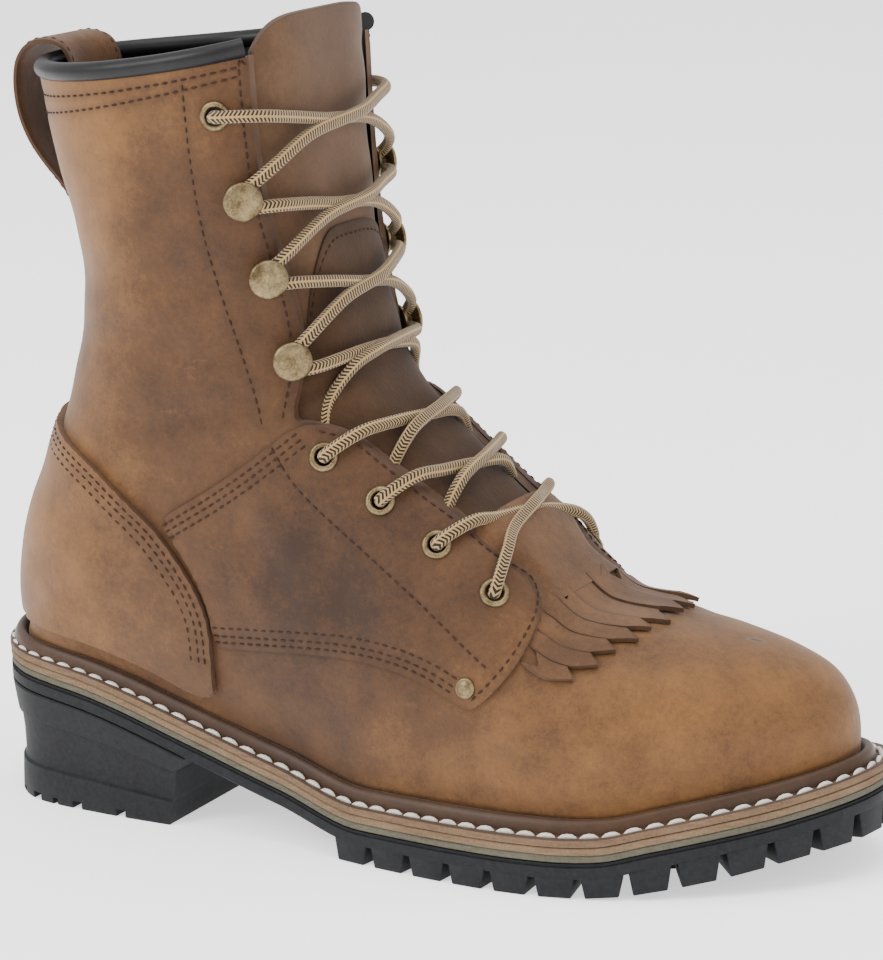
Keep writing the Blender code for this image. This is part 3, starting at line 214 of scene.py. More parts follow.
# Painted light and shade on the leather, paler where the light falls and darker where shade falls: along,
# height, reach as a share of the sole length, amount
PAINTED_LIGHT_AND_SHADE = (
    (0.060, 0.230, 0.150, 0.55), (0.170, 0.920, 0.130, 0.50), (0.120, 0.700, 0.100, 0.35),
    (0.930, 0.020, 0.180, 0.35), (0.800, 0.130, 0.110, 0.25), (0.330, 0.780, 0.090, -0.45),
    (0.440, 0.250, 0.120, -0.50), (0.300, 0.520, 0.100, -0.25), (0.560, 0.160, 0.110, -0.25),
    (0.430, -0.030, 0.110, -0.20), (0.620, -0.080, 0.120, 0.15),
)

# The camera of the photograph, fitted to the sole and the collar, in the boot's own axes
CAMERA_TURN = 0.48867
CAMERA_RISE = 0.22666
CAMERA_ROLL = -0.034647
CAMERA_REACH = 1167.19 * MM
CAMERA_AIM = (163.4 * MM, 0.859 * MM, 115.913 * MM)
CAMERA_LENS = 134.757

Colour = tuple[float, float, float]
Number = Union[float, "Signal"]


class Side(Enum):
    """Outer (lateral) and inner side of the boot, by the sign of Y."""

    OUTER = -1.0
    INNER = 1.0


class Finish(Enum):
    """Finishes of the boot's pieces, with the record slot that each stands for."""

    LEATHER = "leather_brown"
    TONGUE = "leather_tan"
    SUEDE = "leather_tan_suede"
    KILTIE = "leather_tan_kiltie"
    BLACK = "leather_black"
    LINING = "leather_black_lining"
    WELT = "leather_welt"
    STACK = "leather_stack"
    FOAM = "foam_grey"
    RUBBER = "rubber_black"
    BOARD = "insole_board"
    BRASS = "brass_aged"
    LACE = "lace_fabric"
    THREAD = "lace_fabric_thread"
    WELT_THREAD = "lace_fabric_welt_thread"
    EDGE = "leather_welt_edge"


def hermite(xs: np.ndarray, ys: np.ndarray, at: np.ndarray) -> np.ndarray:
    """Reads a monotone cubic through points.

    Args:
        xs: Places of the points, rising.
        ys: Values of the points.
        at: Places to read.

    Returns:
        Values at those places.
    """
    widths = np.diff(xs)
    slopes = np.diff(ys) / widths
    bends = np.zeros(len(xs))
    bends[0], bends[-1] = slopes[0], slopes[-1]
    for i in range(1, len(xs) - 1):
        before, after = slopes[i - 1], slopes[i]
        if before * after > 0.0:
            near = 2.0 * widths[i] + widths[i - 1]
            far = widths[i] + 2.0 * widths[i - 1]
            bends[i] = (near + far) / (near / before + far / after)
    at = np.clip(at, xs[0], xs[-1])
    k = np.clip(np.searchsorted(xs, at, side="right") - 1, 0, len(xs) - 2)
    t = (at - xs[k]) / widths[k]
    first = (1.0 + 2.0 * t) * (1.0 - t) ** 2 * ys[k] + t * (1.0 - t) ** 2 * widths[k] * bends[k]
    second = t * t * (3.0 - 2.0 * t) * ys[k + 1] + t * t * (t - 1.0) * widths[k] * bends[k + 1]
    return first + second


def column(rows: Sequence[Sequence[float]], index: int, at: np.ndarray) -> np.ndarray:
    """Reads a column of a table at places of its first column."""
    table = np.array(rows)
    return hermite(table[:, 0], table[:, index], np.asarray(at, dtype=float))


def unit(vectors: np.ndarray) -> np.ndarray:
    """Scales vectors to length one."""
    return vectors / np.maximum(np.linalg.norm(vectors, axis=-1, keepdims=True), 1e-12)


def soft(points: Sequence[Sequence[float]], closed: bool, rounds: int = 2) -> np.ndarray:
    """Rounds the corners of a chain of points by cutting them."""
    chain = np.array(points, dtype=float)
    for _ in range(rounds):
        after = np.roll(chain, -1, 0) if closed else chain[1:]
        before = chain if closed else chain[:-1]
        near, far = 0.75 * before + 0.25 * after, 0.25 * before + 0.75 * after
        cut = np.stack([near, far], 1).reshape(-1, chain.shape[1])
        chain = cut if closed else np.vstack([chain[:1], cut, chain[-1:]])
    return chain


def even(points: np.ndarray, step: float) -> np.ndarray:
    """Spaces points evenly along a chain."""
    runs = np.concatenate([[0.0], np.cumsum(np.linalg.norm(np.diff(points, axis=0), axis=1))])
    spots = np.linspace(0.0, runs[-1], max(2, int(round(runs[-1] / step)) + 1))
    return np.stack([np.interp(spots, runs, points[:, k]) for k in range(points.shape[1])], 1)


class Nearness:
    """Distance from any place to the nearest of a cloud of points."""

    def __init__(self, points: np.ndarray) -> None:
        self.tree = KDTree(len(points))
        for index, point in enumerate(points):
            self.tree.insert(point, index)
        self.tree.balance()

    def far(self, places: np.ndarray) -> np.ndarray:
        """Distances of places to the cloud."""
        return np.array([self.tree.find(place)[2] for place in places])


class Sole:
    """Outline and heights of the sole."""

    def lift(self, x: np.ndarray) -> np.ndarray:
        """Height of the welt's underside above the floor."""
        place = np.clip(np.asarray(x) / SOLE_LENGTH, 0.0, 1.0)
        return FOREPART_HEIGHT + column(LIFT, 1, place) * HEEL_RISE + column(LIFT, 2, place) * TOE_RISE

    def tread(self, x: np.ndarray) -> np.ndarray:
        """Height of the lugs' ground faces above the floor."""
        place = np.clip(np.asarray(x) / SOLE_LENGTH, SPRING[0][0], 1.0)
        return column(SPRING, 1, place) * TOE_RISE

    def base(self, x: np.ndarray) -> np.ndarray:
        """Underside of the outsole's base plate."""
        return self.lift(x) - MIDSOLE_THICKNESS - FOAM_THICKNESS - BASE_THICKNESS

    def outline(self, inset: float, margins: float, count: int) -> np.ndarray:
        """Points round the sole, moved in by inset plus that many margins, from the toe by the outside."""
        turn = np.linspace(0.0, 2.0 * math.pi, count, endpoint=False)
        along = 0.5 * (1.0 + np.cos(turn))
        centre = column(OUTLINE, 1, along) * SOLE_WIDTH
        half = column(OUTLINE, 2, along) * SOLE_WIDTH * np.sin(turn)
        points = np.stack([along * SOLE_LENGTH, centre - half], 1)
        ahead = unit(np.roll(points, -1, 0) - np.roll(points, 1, 0))
        inward = np.stack([ahead[:, 1], -ahead[:, 0]], 1)
        flip = np.sign(np.sum(inward * (np.array([0.5 * SOLE_LENGTH, 0.0]) - points), 1))
        inward *= np.where(flip == 0.0, 1.0, flip)[:, None]
        depth = inset + margins * column(MARGIN, 1, along) * SOLE_WIDTH
        return points + inward * depth[:, None]


class Last:
    """Surface of the upper by section row and turn, with the leather's relief."""

    FINE = 400

    def __init__(self, sole: Sole) -> None:
        self.sole = sole
        feather = sole.outline(0.0, 1.0, self.FINE)
        self.tip = float(feather[:, 0].max())
        self.heel = float(feather[:, 0].min())
        self.length = self.tip - self.heel
        ring = np.roll(feather, -int(np.argmax(feather[:, 0])), 0)
        back = int(np.argmin(ring[:, 0]))
        self.sides = []
        for half in (ring[:back + 1], np.vstack([ring[back:], ring[:1]])):
            self.sides.append(half[np.argsort(half[:, 0])])
        self.base = float(self.feather_height(np.array(self.heel)))
        self.table = np.array(SECTIONS)
        self.grid = self._coarse()
        self.worn: Optional[list[tuple[Nearness, float, float]]] = None

    def feather_height(self, x: np.ndarray) -> np.ndarray:
        """Height of the feather edge on top of the welt."""
        return self.sole.lift(x) + WELT_THICKNESS + SEAT

    def points(self, rows: np.ndarray, turns: np.ndarray) -> np.ndarray:
        """Points of the plain surface.

        Args:
            rows: Section rows, which may be fractions.
            turns: From -1, low on the outer side, over 0, the front, to 1.

        Returns:
            An array of points.
        """
        rows, turns = np.broadcast_arrays(np.asarray(rows, float), np.asarray(turns, float))
        index = np.arange(len(SECTIONS), dtype=float)
        values = [hermite(index, self.table[:, c], rows) for c in range(self.table.shape[1])]
        front, height, low, back_set, back_rise, half, flare, belly, square, ridge = values
        low_x = self.tip - low * self.length
        inside = np.clip(low_x, self.heel, self.tip)
        outer = np.interp(inside, self.sides[0][:, 0], self.sides[0][:, 1])
        inner = np.interp(inside, self.sides[1][:, 0], self.sides[1][:, 1])
        base = self.feather_height(low_x)
        closed = (back_rise > 0.0) | (low >= 1.0)
        foot = np.where(closed | (low <= 0.0), 0.0, 0.5 * np.abs(inner - outer))
        centre = np.where(closed, 0.0, 0.5 * (outer + inner))
        wide = half * SHAFT_WIDTH
        bulged = np.where(low > 0.0, foot + flare * SOLE_WIDTH, 0.0)
        blend = np.where(low > 0.0, 2.0 * MM, 0.0)
        widest = 0.5 * (wide + bulged + np.hypot(wide - bulged, blend))
        part = np.abs(turns) * (FRONT_STEPS + SIDE_STEPS) / FRONT_STEPS
        angle = np.minimum(part, 1.0) * 0.5 * math.pi
        front_along = belly * (1.0 - np.abs(np.cos(angle)) ** (2.0 / square))
        front_half = widest * np.sin(angle) ** (2.0 / square)
        step = np.clip((np.abs(turns) * (FRONT_STEPS + SIDE_STEPS) - FRONT_STEPS) / SIDE_STEPS, 0.0, 1.0)
        down = np.sin(step * 0.5 * math.pi)
        power = 0.5 + 0.5 * np.where(widest > 0.0, foot / np.maximum(widest, 1e-9), 1.0)
        side_along = belly + (1.0 - belly) * down
        side_half = foot + (widest - foot) * np.maximum(0.0, 1.0 - down ** 2.1) ** power
        along = np.where(part <= 1.0, front_along, side_along)
        spread = np.where(part <= 1.0, front_half, side_half)
        dip = COLLAR_DIP * np.maximum(0.0, 1.0 - (LAST_ROW - rows) / 3.0) * 4.0 * along * (1.0 - along)
        front_x = self.tip - front * self.length
        end_x = low_x + back_set * self.length
        front_z = base + height * SHAFT_HEIGHT
        end_z = base + back_rise * SHAFT_HEIGHT
        lean = ridge * SOLE_WIDTH
        x = front_x + (end_x - front_x) * along
        z = front_z + (end_z - front_z) * along - dip
        y = lean + (centre - lean) * np.minimum(1.0, along / np.maximum(belly, 0.01))
        return np.stack([x, y + np.where(turns < 0.0, -1.0, 1.0) * spread, z], -1)

    def normals(self, rows: np.ndarray, turns: np.ndarray) -> np.ndarray:
        """Outward unit normals of the plain surface."""
        rows, turns = np.broadcast_arrays(np.asarray(rows, float), np.asarray(turns, float))
        inner = np.clip(turns, -0.996, 0.996)
        ahead = self.points(np.minimum(rows + 0.03, LAST_ROW),
                            inner) - self.points(np.maximum(rows - 0.03, 0.0), inner)
        across = self.points(rows, inner + 0.004) - self.points(rows, inner - 0.004)
        normal = unit(np.cross(across, ahead))
        spot = self.points(rows, turns)
        heart = np.zeros_like(spot)
        shaft = rows > 12.0
        heart[..., 0] = np.where(shaft, 0.25, 0.36) * SOLE_LENGTH
        heart[..., 2] = np.where(shaft, spot[..., 2], 0.8 * self.base)
        flip = np.sum(normal * (spot - heart), -1, keepdims=True) < 0.0
        normal = np.where(flip, -normal, normal)
        seam = (np.abs(turns) > 0.995) & (rows >= 18.0)
        normal[..., 1] = np.where(seam, 0.0, normal[..., 1])
        return unit(normal)

    def wear(self, places: np.ndarray) -> np.ndarray:
        """Height of the leather's relief at places of the surface."""
        if self.worn is None:
            self.worn = []
            for chain, depth, width in CREASES:
                for side in Side:
                    line = even(soft(chain, False), 0.01)
                    rows, turns = self.find(line, side)
                    cloud = even(self.points(rows, turns), 1.5 * MM)
                    self.worn.append((Nearness(cloud), depth * MM, width * MM))
        flat = places.reshape(-1, 3)
        relief = np.zeros(len(flat))
        for near, depth, width in self.worn:
            far = near.far(flat)
            ridge = 0.45 * np.exp(-((far - 1.7 * width) / width) ** 2)
            relief += depth * (ridge - np.exp(-(far / width) ** 2))
        waves = np.array([noise.noise(Vector(place) * 28.0) for place in flat])
        small = np.array([noise.noise(Vector(place) * 95.0) for place in flat])
        relief += 0.45 * MM * waves + 0.10 * MM * small
        return relief.reshape(places.shape[:-1])

    def lifted(self, rows: np.ndarray, turns: np.ndarray, lift: Union[float, np.ndarray]) -> np.ndarray:
        """Points outside the surface by lift, on the worn leather."""
        plain = self.points(rows, turns)
        reach = np.asarray(lift, float) + self.wear(plain)
        return plain + self.normals(rows, turns) * reach[..., None]

    def _coarse(self) -> np.ndarray:
        rows, turns = np.meshgrid(np.linspace(3.0, LAST_ROW, 90), np.linspace(0.05, 0.96, 50),
                                  indexing="ij")
        spots = self.points(rows, turns)
        return np.stack([spots[..., 0].ravel(), spots[..., 2].ravel(), rows.ravel(), turns.ravel()], 1)

    def find(self, places: Iterable[Sequence[float]], side: Side) -> tuple[np.ndarray, np.ndarray]:
        """Rows and turns of the surface points that show at places of the side view."""
        chain = np.array(list(places), dtype=float)
        goal = np.stack([chain[:, 0] * SOLE_LENGTH, self.base + chain[:, 1] * SHAFT_HEIGHT], 1)
        pick = np.argmin(((self.grid[None, :, :2] - goal[:, None, :]) ** 2).sum(2), 1)
        rows = self.grid[pick, 2].copy()
        turns = self.grid[pick, 3].copy() * side.value
        for _ in range(8):
            here = self.points(rows, turns)[:, (0, 2)]
            by_row = (self.points(rows + 0.02, turns)[:, (0, 2)] - here) / 0.02
            by_turn = (self.points(rows, turns + 0.002)[:, (0, 2)] - here) / 0.002
            error = goal - here
            det = by_row[:, 0] * by_turn[:, 1] - by_row[:, 1] * by_turn[:, 0]
            det = np.where(np.abs(det) < 1e-10, 1e-10, det)
            step_row = (error[:, 0] * by_turn[:, 1] - error[:, 1] * by_turn[:, 0]) / det
            step_turn = (by_row[:, 0] * error[:, 1] - by_row[:, 1] * error[:, 0]) / det
            rows = np.clip(rows + np.clip(step_row, -0.6, 0.6), 0.0, LAST_ROW)
            turns = turns + np.clip(step_turn, -0.04, 0.04)
            turns = side.value * np.clip(np.abs(turns), 0.02, 1.0)
        return rows, turns

    def view_of(self, points: np.ndarray) -> np.ndarray:
        """Side view shares of points."""
        return np.stack([points[:, 0] / SOLE_LENGTH, (points[:, 2] - self.base) / SHAFT_HEIGHT], 1)

    def beside(self, chain: Sequence[Sequence[float]], side: Side, inset: float,
               step: float) -> tuple[np.ndarray, np.ndarray]:
        """Rows and turns along a side-view line, moved over the surface to the left of its run."""
        rows, turns = self.find(even(soft(chain, False), step / SOLE_LENGTH), side)
        spots = self.points(rows, turns)
        ahead = unit(np.gradient(spots, axis=0))
        across = np.cross(ahead, self.normals(rows, turns)) * side.value
        goal = self.view_of(spots + across * inset)
        rows, turns = self.find(goal, side)
        miss = np.linalg.norm(self.view_of(self.points(rows, turns)) - goal, axis=1)
        kept = (miss < 0.002) & (np.abs(turns) < 0.90)
        return rows[kept], turns[kept]


class Signal:
    """A node socket that takes part in Python expressions."""

    def __init__(self, graph: "ShaderGraph", socket: bpy.types.NodeSocket) -> None:
        self.graph = graph
        self.socket = socket

    def _math(self, operation: str, first: Number, second: Number) -> "Signal":
        return self.graph.node("ShaderNodeMath", {"operation": operation}, {0: first, 1: second})

    def __add__(self, other: Number) -> "Signal":
        return self._math("ADD", self, other)

    __radd__ = __add__

    def __sub__(self, other: Number) -> "Signal":
        return self._math("SUBTRACT", self, other)

    def __rsub__(self, other: Number) -> "Signal":
        return self._math("SUBTRACT", other, self)

    def __mul__(self, other: Number) -> "Signal":
        return self._math("MULTIPLY", self, other)

    __rmul__ = __mul__

    def __truediv__(self, other: Number) -> "Signal":
        return self._math("DIVIDE", self, other)

    def __rtruediv__(self, other: Number) -> "Signal":
        return self._math("DIVIDE", other, self)

    def __pow__(self, other: Number) -> "Signal":
        return self._math("POWER", self, other)

    def __mod__(self, other: Number) -> "Signal":
        return self._math("FLOORED_MODULO", self, other)

    def __lt__(self, other: Number) -> "Signal":
        return self._math("LESS_THAN", self, other)

    def over(self, low: float, high: float) -> "Signal":
        """Rises smoothly from 0 at low to 1 at high."""
        settings = {"interpolation_type": "SMOOTHSTEP"}
        return self.graph.node("ShaderNodeMapRange", settings, {0: self, 1: low, 2: high})


class ShaderGraph:
    """A material's nodes."""

    def __init__(self, name: str) -> None:
        self.material = bpy.data.materials.new(name)
        self.material.use_nodes = True
        self.tree = self.material.node_tree
        self.shader = self.tree.nodes["Principled BSDF"]

    def node(self, kind: str, settings: dict, values: dict, output: Union[int, str] = 0) -> Signal:
        """Adds a node.

        Args:
            kind: Type of the node.
            settings: Its own properties; stops are a ramp's places and colours.
            values: Values or signals of its sockets.
            output: The socket that is returned.

        Returns:
            The output as a signal.
        """
        made = self.tree.nodes.new(kind)
        for key, value in settings.items():
            if key == "stops":
                while len(made.color_ramp.elements) < len(value):
                    made.color_ramp.elements.new(0.5)
                for element, (place, colour) in zip(made.color_ramp.elements, value):
                    element.position = place
                    element.color = (*colour, 1.0)
            else:
                setattr(made, key, value)
        for key, value in values.items():
            self.feed(made.inputs[key], value)
        return Signal(self, made.outputs[output])

    def feed(self, socket: bpy.types.NodeSocket, value: Union[Number, Sequence[float]]) -> None:
        """Sets or links a socket."""
        if isinstance(value, Signal):
            self.tree.links.new(value.socket, socket)
        elif isinstance(value, (tuple, list)):
            socket.default_value = (*value, 1.0) if len(value) == 3 and socket.type == "RGBA" else value
        else:
            socket.default_value = value

    def object_place(self) -> Signal:
        """Object coordinates."""
        return self.node("ShaderNodeTexCoord", {}, {}, "Object")

    def noise(self, scale: float, detail: float = 3.0, rough: float = 0.55,
              stretch: Sequence[float] = (1, 1, 1)) -> Signal:
        """Noise over the piece, stretched along its axes."""
        place = self.node("ShaderNodeMapping", {}, {"Vector": self.object_place(), "Scale": tuple(stretch)})
        values = {"Vector": place, "Scale": scale, "Detail": detail, "Roughness": rough}
        return self.node("ShaderNodeTexNoise", {}, values)

    def cells(self, scale: float) -> Signal:
        """Distance to the middle of the nearest pebble of a cell pattern."""
        return self.node("ShaderNodeTexVoronoi", {}, {"Vector": self.object_place(), "Scale": scale})

    def attribute(self, name: str) -> Signal:
        """A value painted on the mesh."""
        return self.node("ShaderNodeAttribute", {"attribute_name": name}, {}, "Fac")

    def ramp(self, factor: Signal, *stops: tuple[float, Colour]) -> Signal:
        """Colour ramp."""
        return self.node("ShaderNodeValToRGB", {"stops": stops}, {0: factor})

    def mix(self, factor: Number, first: Union[Signal, Colour], second: Union[Signal, Colour]) -> Signal:
        """Colour between two colours."""
        return self.node("ShaderNodeMix", {"data_type": "RGBA"}, {0: factor, 6: first, 7: second}, 2)

    def bump(self, height: Signal, distance: float, strength: float) -> Signal:
        """Normal from a height."""
        return self.node("ShaderNodeBump", {},
                         {"Height": height, "Distance": distance, "Strength": strength})

    def finish(self, **sockets: Union[Number, Signal, Sequence[float]]) -> bpy.types.Material:
        """Feeds the shader's sockets, named with underscores for spaces."""
        for key, value in sockets.items():
            self.feed(self.shader.inputs[key.replace("_", " ")], value)
        return self.material


@dataclass(frozen=True)
class LeatherFinish:
    """Waxed leather: deep, middle and pale colour, roughness and size of the grain."""

    name: str
    deep: Colour
    middle: Colour
    pale: Colour
    roughness: float
    grain: float
    painted: bool = True
    sheen: float = 0.10
    gloss: float = 0.28

    def build(self) -> bpy.types.Material:
        """Makes the material."""
        g = ShaderGraph(self.name)
        broad = g.noise(16.0, 4.0, 0.6)
        cloud = g.noise(70.0, 5.0, 0.62)
        fine = g.noise(520.0, 4.0, 0.6)
        speck = g.noise(1500.0, 2.0, 0.5)
        streak = g.noise(60.0, 4.0, 0.65, (0.35, 1.0, 2.2))
        tone = 0.36 * broad + 0.30 * cloud + 0.20 * fine + 0.14 * speck
        # the tone attribute adds painted light and shade: paler where the light falls, darker in shade
        if self.painted:
            tone = tone + 0.26 * g.attribute("tone")
        colour = g.ramp(tone, (0.30, self.deep), (0.50, self.middle), (0.72, self.pale))
        scuff = streak.over(0.60, 0.78) * fine.over(0.42, 0.64)
        colour = g.mix(0.30 * scuff, colour, self.pale)
        dots = speck.over(0.60, 0.72) * fine.over(0.40, 0.60)
        colour = g.mix(0.30 * dots, colour, self.deep)
        rough = self.roughness + 0.14 * fine - 0.07 * cloud
        height = 0.5 * fine + 0.4 * speck + 0.3 * g.cells(760.0)
        if self.painted:
            rim = g.attribute("rim")
            colour = g.mix(0.55 * rim, colour, self.deep)
            seam = g.attribute("seam")
            colour = g.mix(0.38 * seam, colour, self.deep)
        return g.finish(Base_Color=colour, Roughness=rough, Normal=g.bump(height, 0.25 * MM, self.grain),
                        Sheen_Weight=self.sheen, Sheen_Roughness=0.5, Specular_IOR_Level=self.gloss)


@dataclass(frozen=True)
class MouldedFinish:
    """Rubber, board or raw leather edge: two colours with fine speckles."""

    name: str
    dark: Colour
    light: Colour
    roughness: float
    speckle: float
    layered: bool = False

    def build(self) -> bpy.types.Material:
        """Makes the material."""
        g = ShaderGraph(self.name)
        fine = g.noise(self.speckle, 4.0, 0.6)
        stretch = (0.25, 0.25, 3.0) if self.layered else (1.0, 1.0, 1.0)
        grain = g.noise(420.0, 4.0, 0.6, stretch)
        cloud = g.noise(60.0, 3.0)
        tone = 0.45 * fine + 0.35 * grain + 0.2 * cloud
        colour = g.ramp(tone, (0.36, self.dark), (0.66, self.light))
        rough = self.roughness + 0.15 * cloud
        normal = g.bump(0.6 * grain + 0.4 * fine, 0.25 * MM, 0.35)
        return g.finish(Base_Color=colour, Roughness=rough, Normal=normal, Specular_IOR_Level=0.2)


@dataclass(frozen=True)
class MetalFinish:
    """Antique brass: worn bright and brown, mixed in patches of noise."""

    name: str
    dark: Colour
    light: Colour

    def build(self) -> bpy.types.Material:
        """Makes the material."""
        g = ShaderGraph(self.name)
        cloud = g.noise(260.0, 4.0, 0.6)
        fine = g.noise(1400.0, 3.0)
        colour = g.ramp(0.6 * cloud + 0.4 * fine, (0.34, self.dark), (0.66, self.light))
        rough = 0.30 + 0.22 * cloud
        return g.finish(Base_Color=colour, Roughness=rough, Metallic=0.92,
                        Normal=g.bump(fine, 0.1 * MM, 0.15))


@dataclass(frozen=True)
class CordFinish:
    """Braided cord: pale yarn with dark chevrons that run round it."""

    name: str
    pale: Colour
    dark: Colour
    share: float

    def build(self) -> bpy.types.Material:
        """Makes the material."""
        g = ShaderGraph(self.name)
        uv = g.node("ShaderNodeTexCoord", {}, {}, "UV")
        parts = g.tree.nodes.new("ShaderNodeSeparateXYZ")
        g.feed(parts.inputs[0], uv)
        along, around = Signal(g, parts.outputs[0]), Signal(g, parts.outputs[1])
        wedge = g.node("ShaderNodeMath", {"operation": "PINGPONG"}, {0: around * 6.0, 1: 1.0})
        yarn = (along * 1.0 + wedge * 0.9) % 1.0
        stripe = g.node("ShaderNodeMath", {"operation": "PINGPONG"}, {0: yarn, 1: 0.5})
        band = g.node("ShaderNodeMath", {"operation": "PINGPONG"}, {0: around * 3.0, 1: 0.5})
        dark = (1.0 - stripe.over(0.5 * self.share - 0.05, 0.5 * self.share + 0.05)) * band.over(0.05, 0.12)
        fuzz = g.noise(2200.0, 2.0)
        tone = g.mix(0.35 * fuzz, self.pale, tuple(0.62 * value for value in self.pale))
        colour = g.mix(dark, tone, self.dark)
        height = stripe * 1.6 + 0.25 * fuzz
        return g.finish(Base_Color=colour, Roughness=0.86, Normal=g.bump(height, 0.3 * MM, 0.7),
                        Sheen_Weight=0.2, Specular_IOR_Level=0.25)


FINISHES: dict[Finish, Union[LeatherFinish, MouldedFinish, MetalFinish, CordFinish]] = {
    Finish.LEATHER: LeatherFinish("waxed_leather", (0.026, 0.0095, 0.0026), (0.078, 0.0315, 0.0082),
                                  (0.190, 0.084, 0.0225), 0.60, 0.45),
    Finish.TONGUE: LeatherFinish("tongue_leather", (0.036, 0.016, 0.007), (0.080, 0.038, 0.0155),
                                 (0.145, 0.075, 0.033), 0.70, 0.35),
    Finish.SUEDE: LeatherFinish("tongue_suede", (0.018, 0.008, 0.0035), (0.042, 0.019, 0.0075),
                                (0.080, 0.038, 0.016), 0.92, 0.70),
    Finish.KILTIE: LeatherFinish("kiltie_leather", (0.028, 0.011, 0.0035), (0.070, 0.029, 0.0088),
                                 (0.160, 0.072, 0.023), 0.66, 0.45),
    Finish.BLACK: LeatherFinish("collar_leather", (0.004, 0.004, 0.005), (0.008, 0.008, 0.009),
                                (0.016, 0.016, 0.018), 0.36, 0.12, False, 0.0, 0.22),
    Finish.LINING: MouldedFinish("black_lining", (0.006, 0.006, 0.007), (0.020, 0.020, 0.022), 0.80, 900.0),
    Finish.WELT: LeatherFinish("welt_leather", (0.014, 0.0055, 0.002), (0.038, 0.0155, 0.0055),
                               (0.070, 0.031, 0.012), 0.42, 0.20, False),
    Finish.EDGE: MouldedFinish("welt_edge", (0.085, 0.048, 0.026), (0.190, 0.120, 0.070), 0.62, 1500.0,
                               True),
    Finish.STACK: MouldedFinish("leather_layer", (0.100, 0.060, 0.033), (0.215, 0.145, 0.088), 0.72,
                                1500.0, True),
    Finish.FOAM: MouldedFinish("grey_rubber", (0.058, 0.052, 0.037), (0.115, 0.105, 0.076), 0.70, 900.0,
                               True),
    Finish.RUBBER: MouldedFinish("black_rubber", (0.004, 0.004, 0.005), (0.013, 0.014, 0.016), 0.55, 800.0),
    Finish.BOARD: MouldedFinish("insole_board", (0.070, 0.050, 0.034), (0.150, 0.115, 0.080), 0.80, 700.0),
    Finish.BRASS: MetalFinish("antique_brass", (0.070, 0.045, 0.020), (0.270, 0.205, 0.110)),
    Finish.LACE: CordFinish("braided_lace", (0.370, 0.240, 0.105), (0.014, 0.007, 0.003), 0.56),
    Finish.THREAD: MouldedFinish("brown_thread", (0.016, 0.007, 0.004), (0.048, 0.021, 0.010), 0.62,
                                 1800.0),
    Finish.WELT_THREAD: MouldedFinish("welt_thread", (0.520, 0.480, 0.410), (0.800, 0.770, 0.700), 0.66,
                                      1800.0),
}


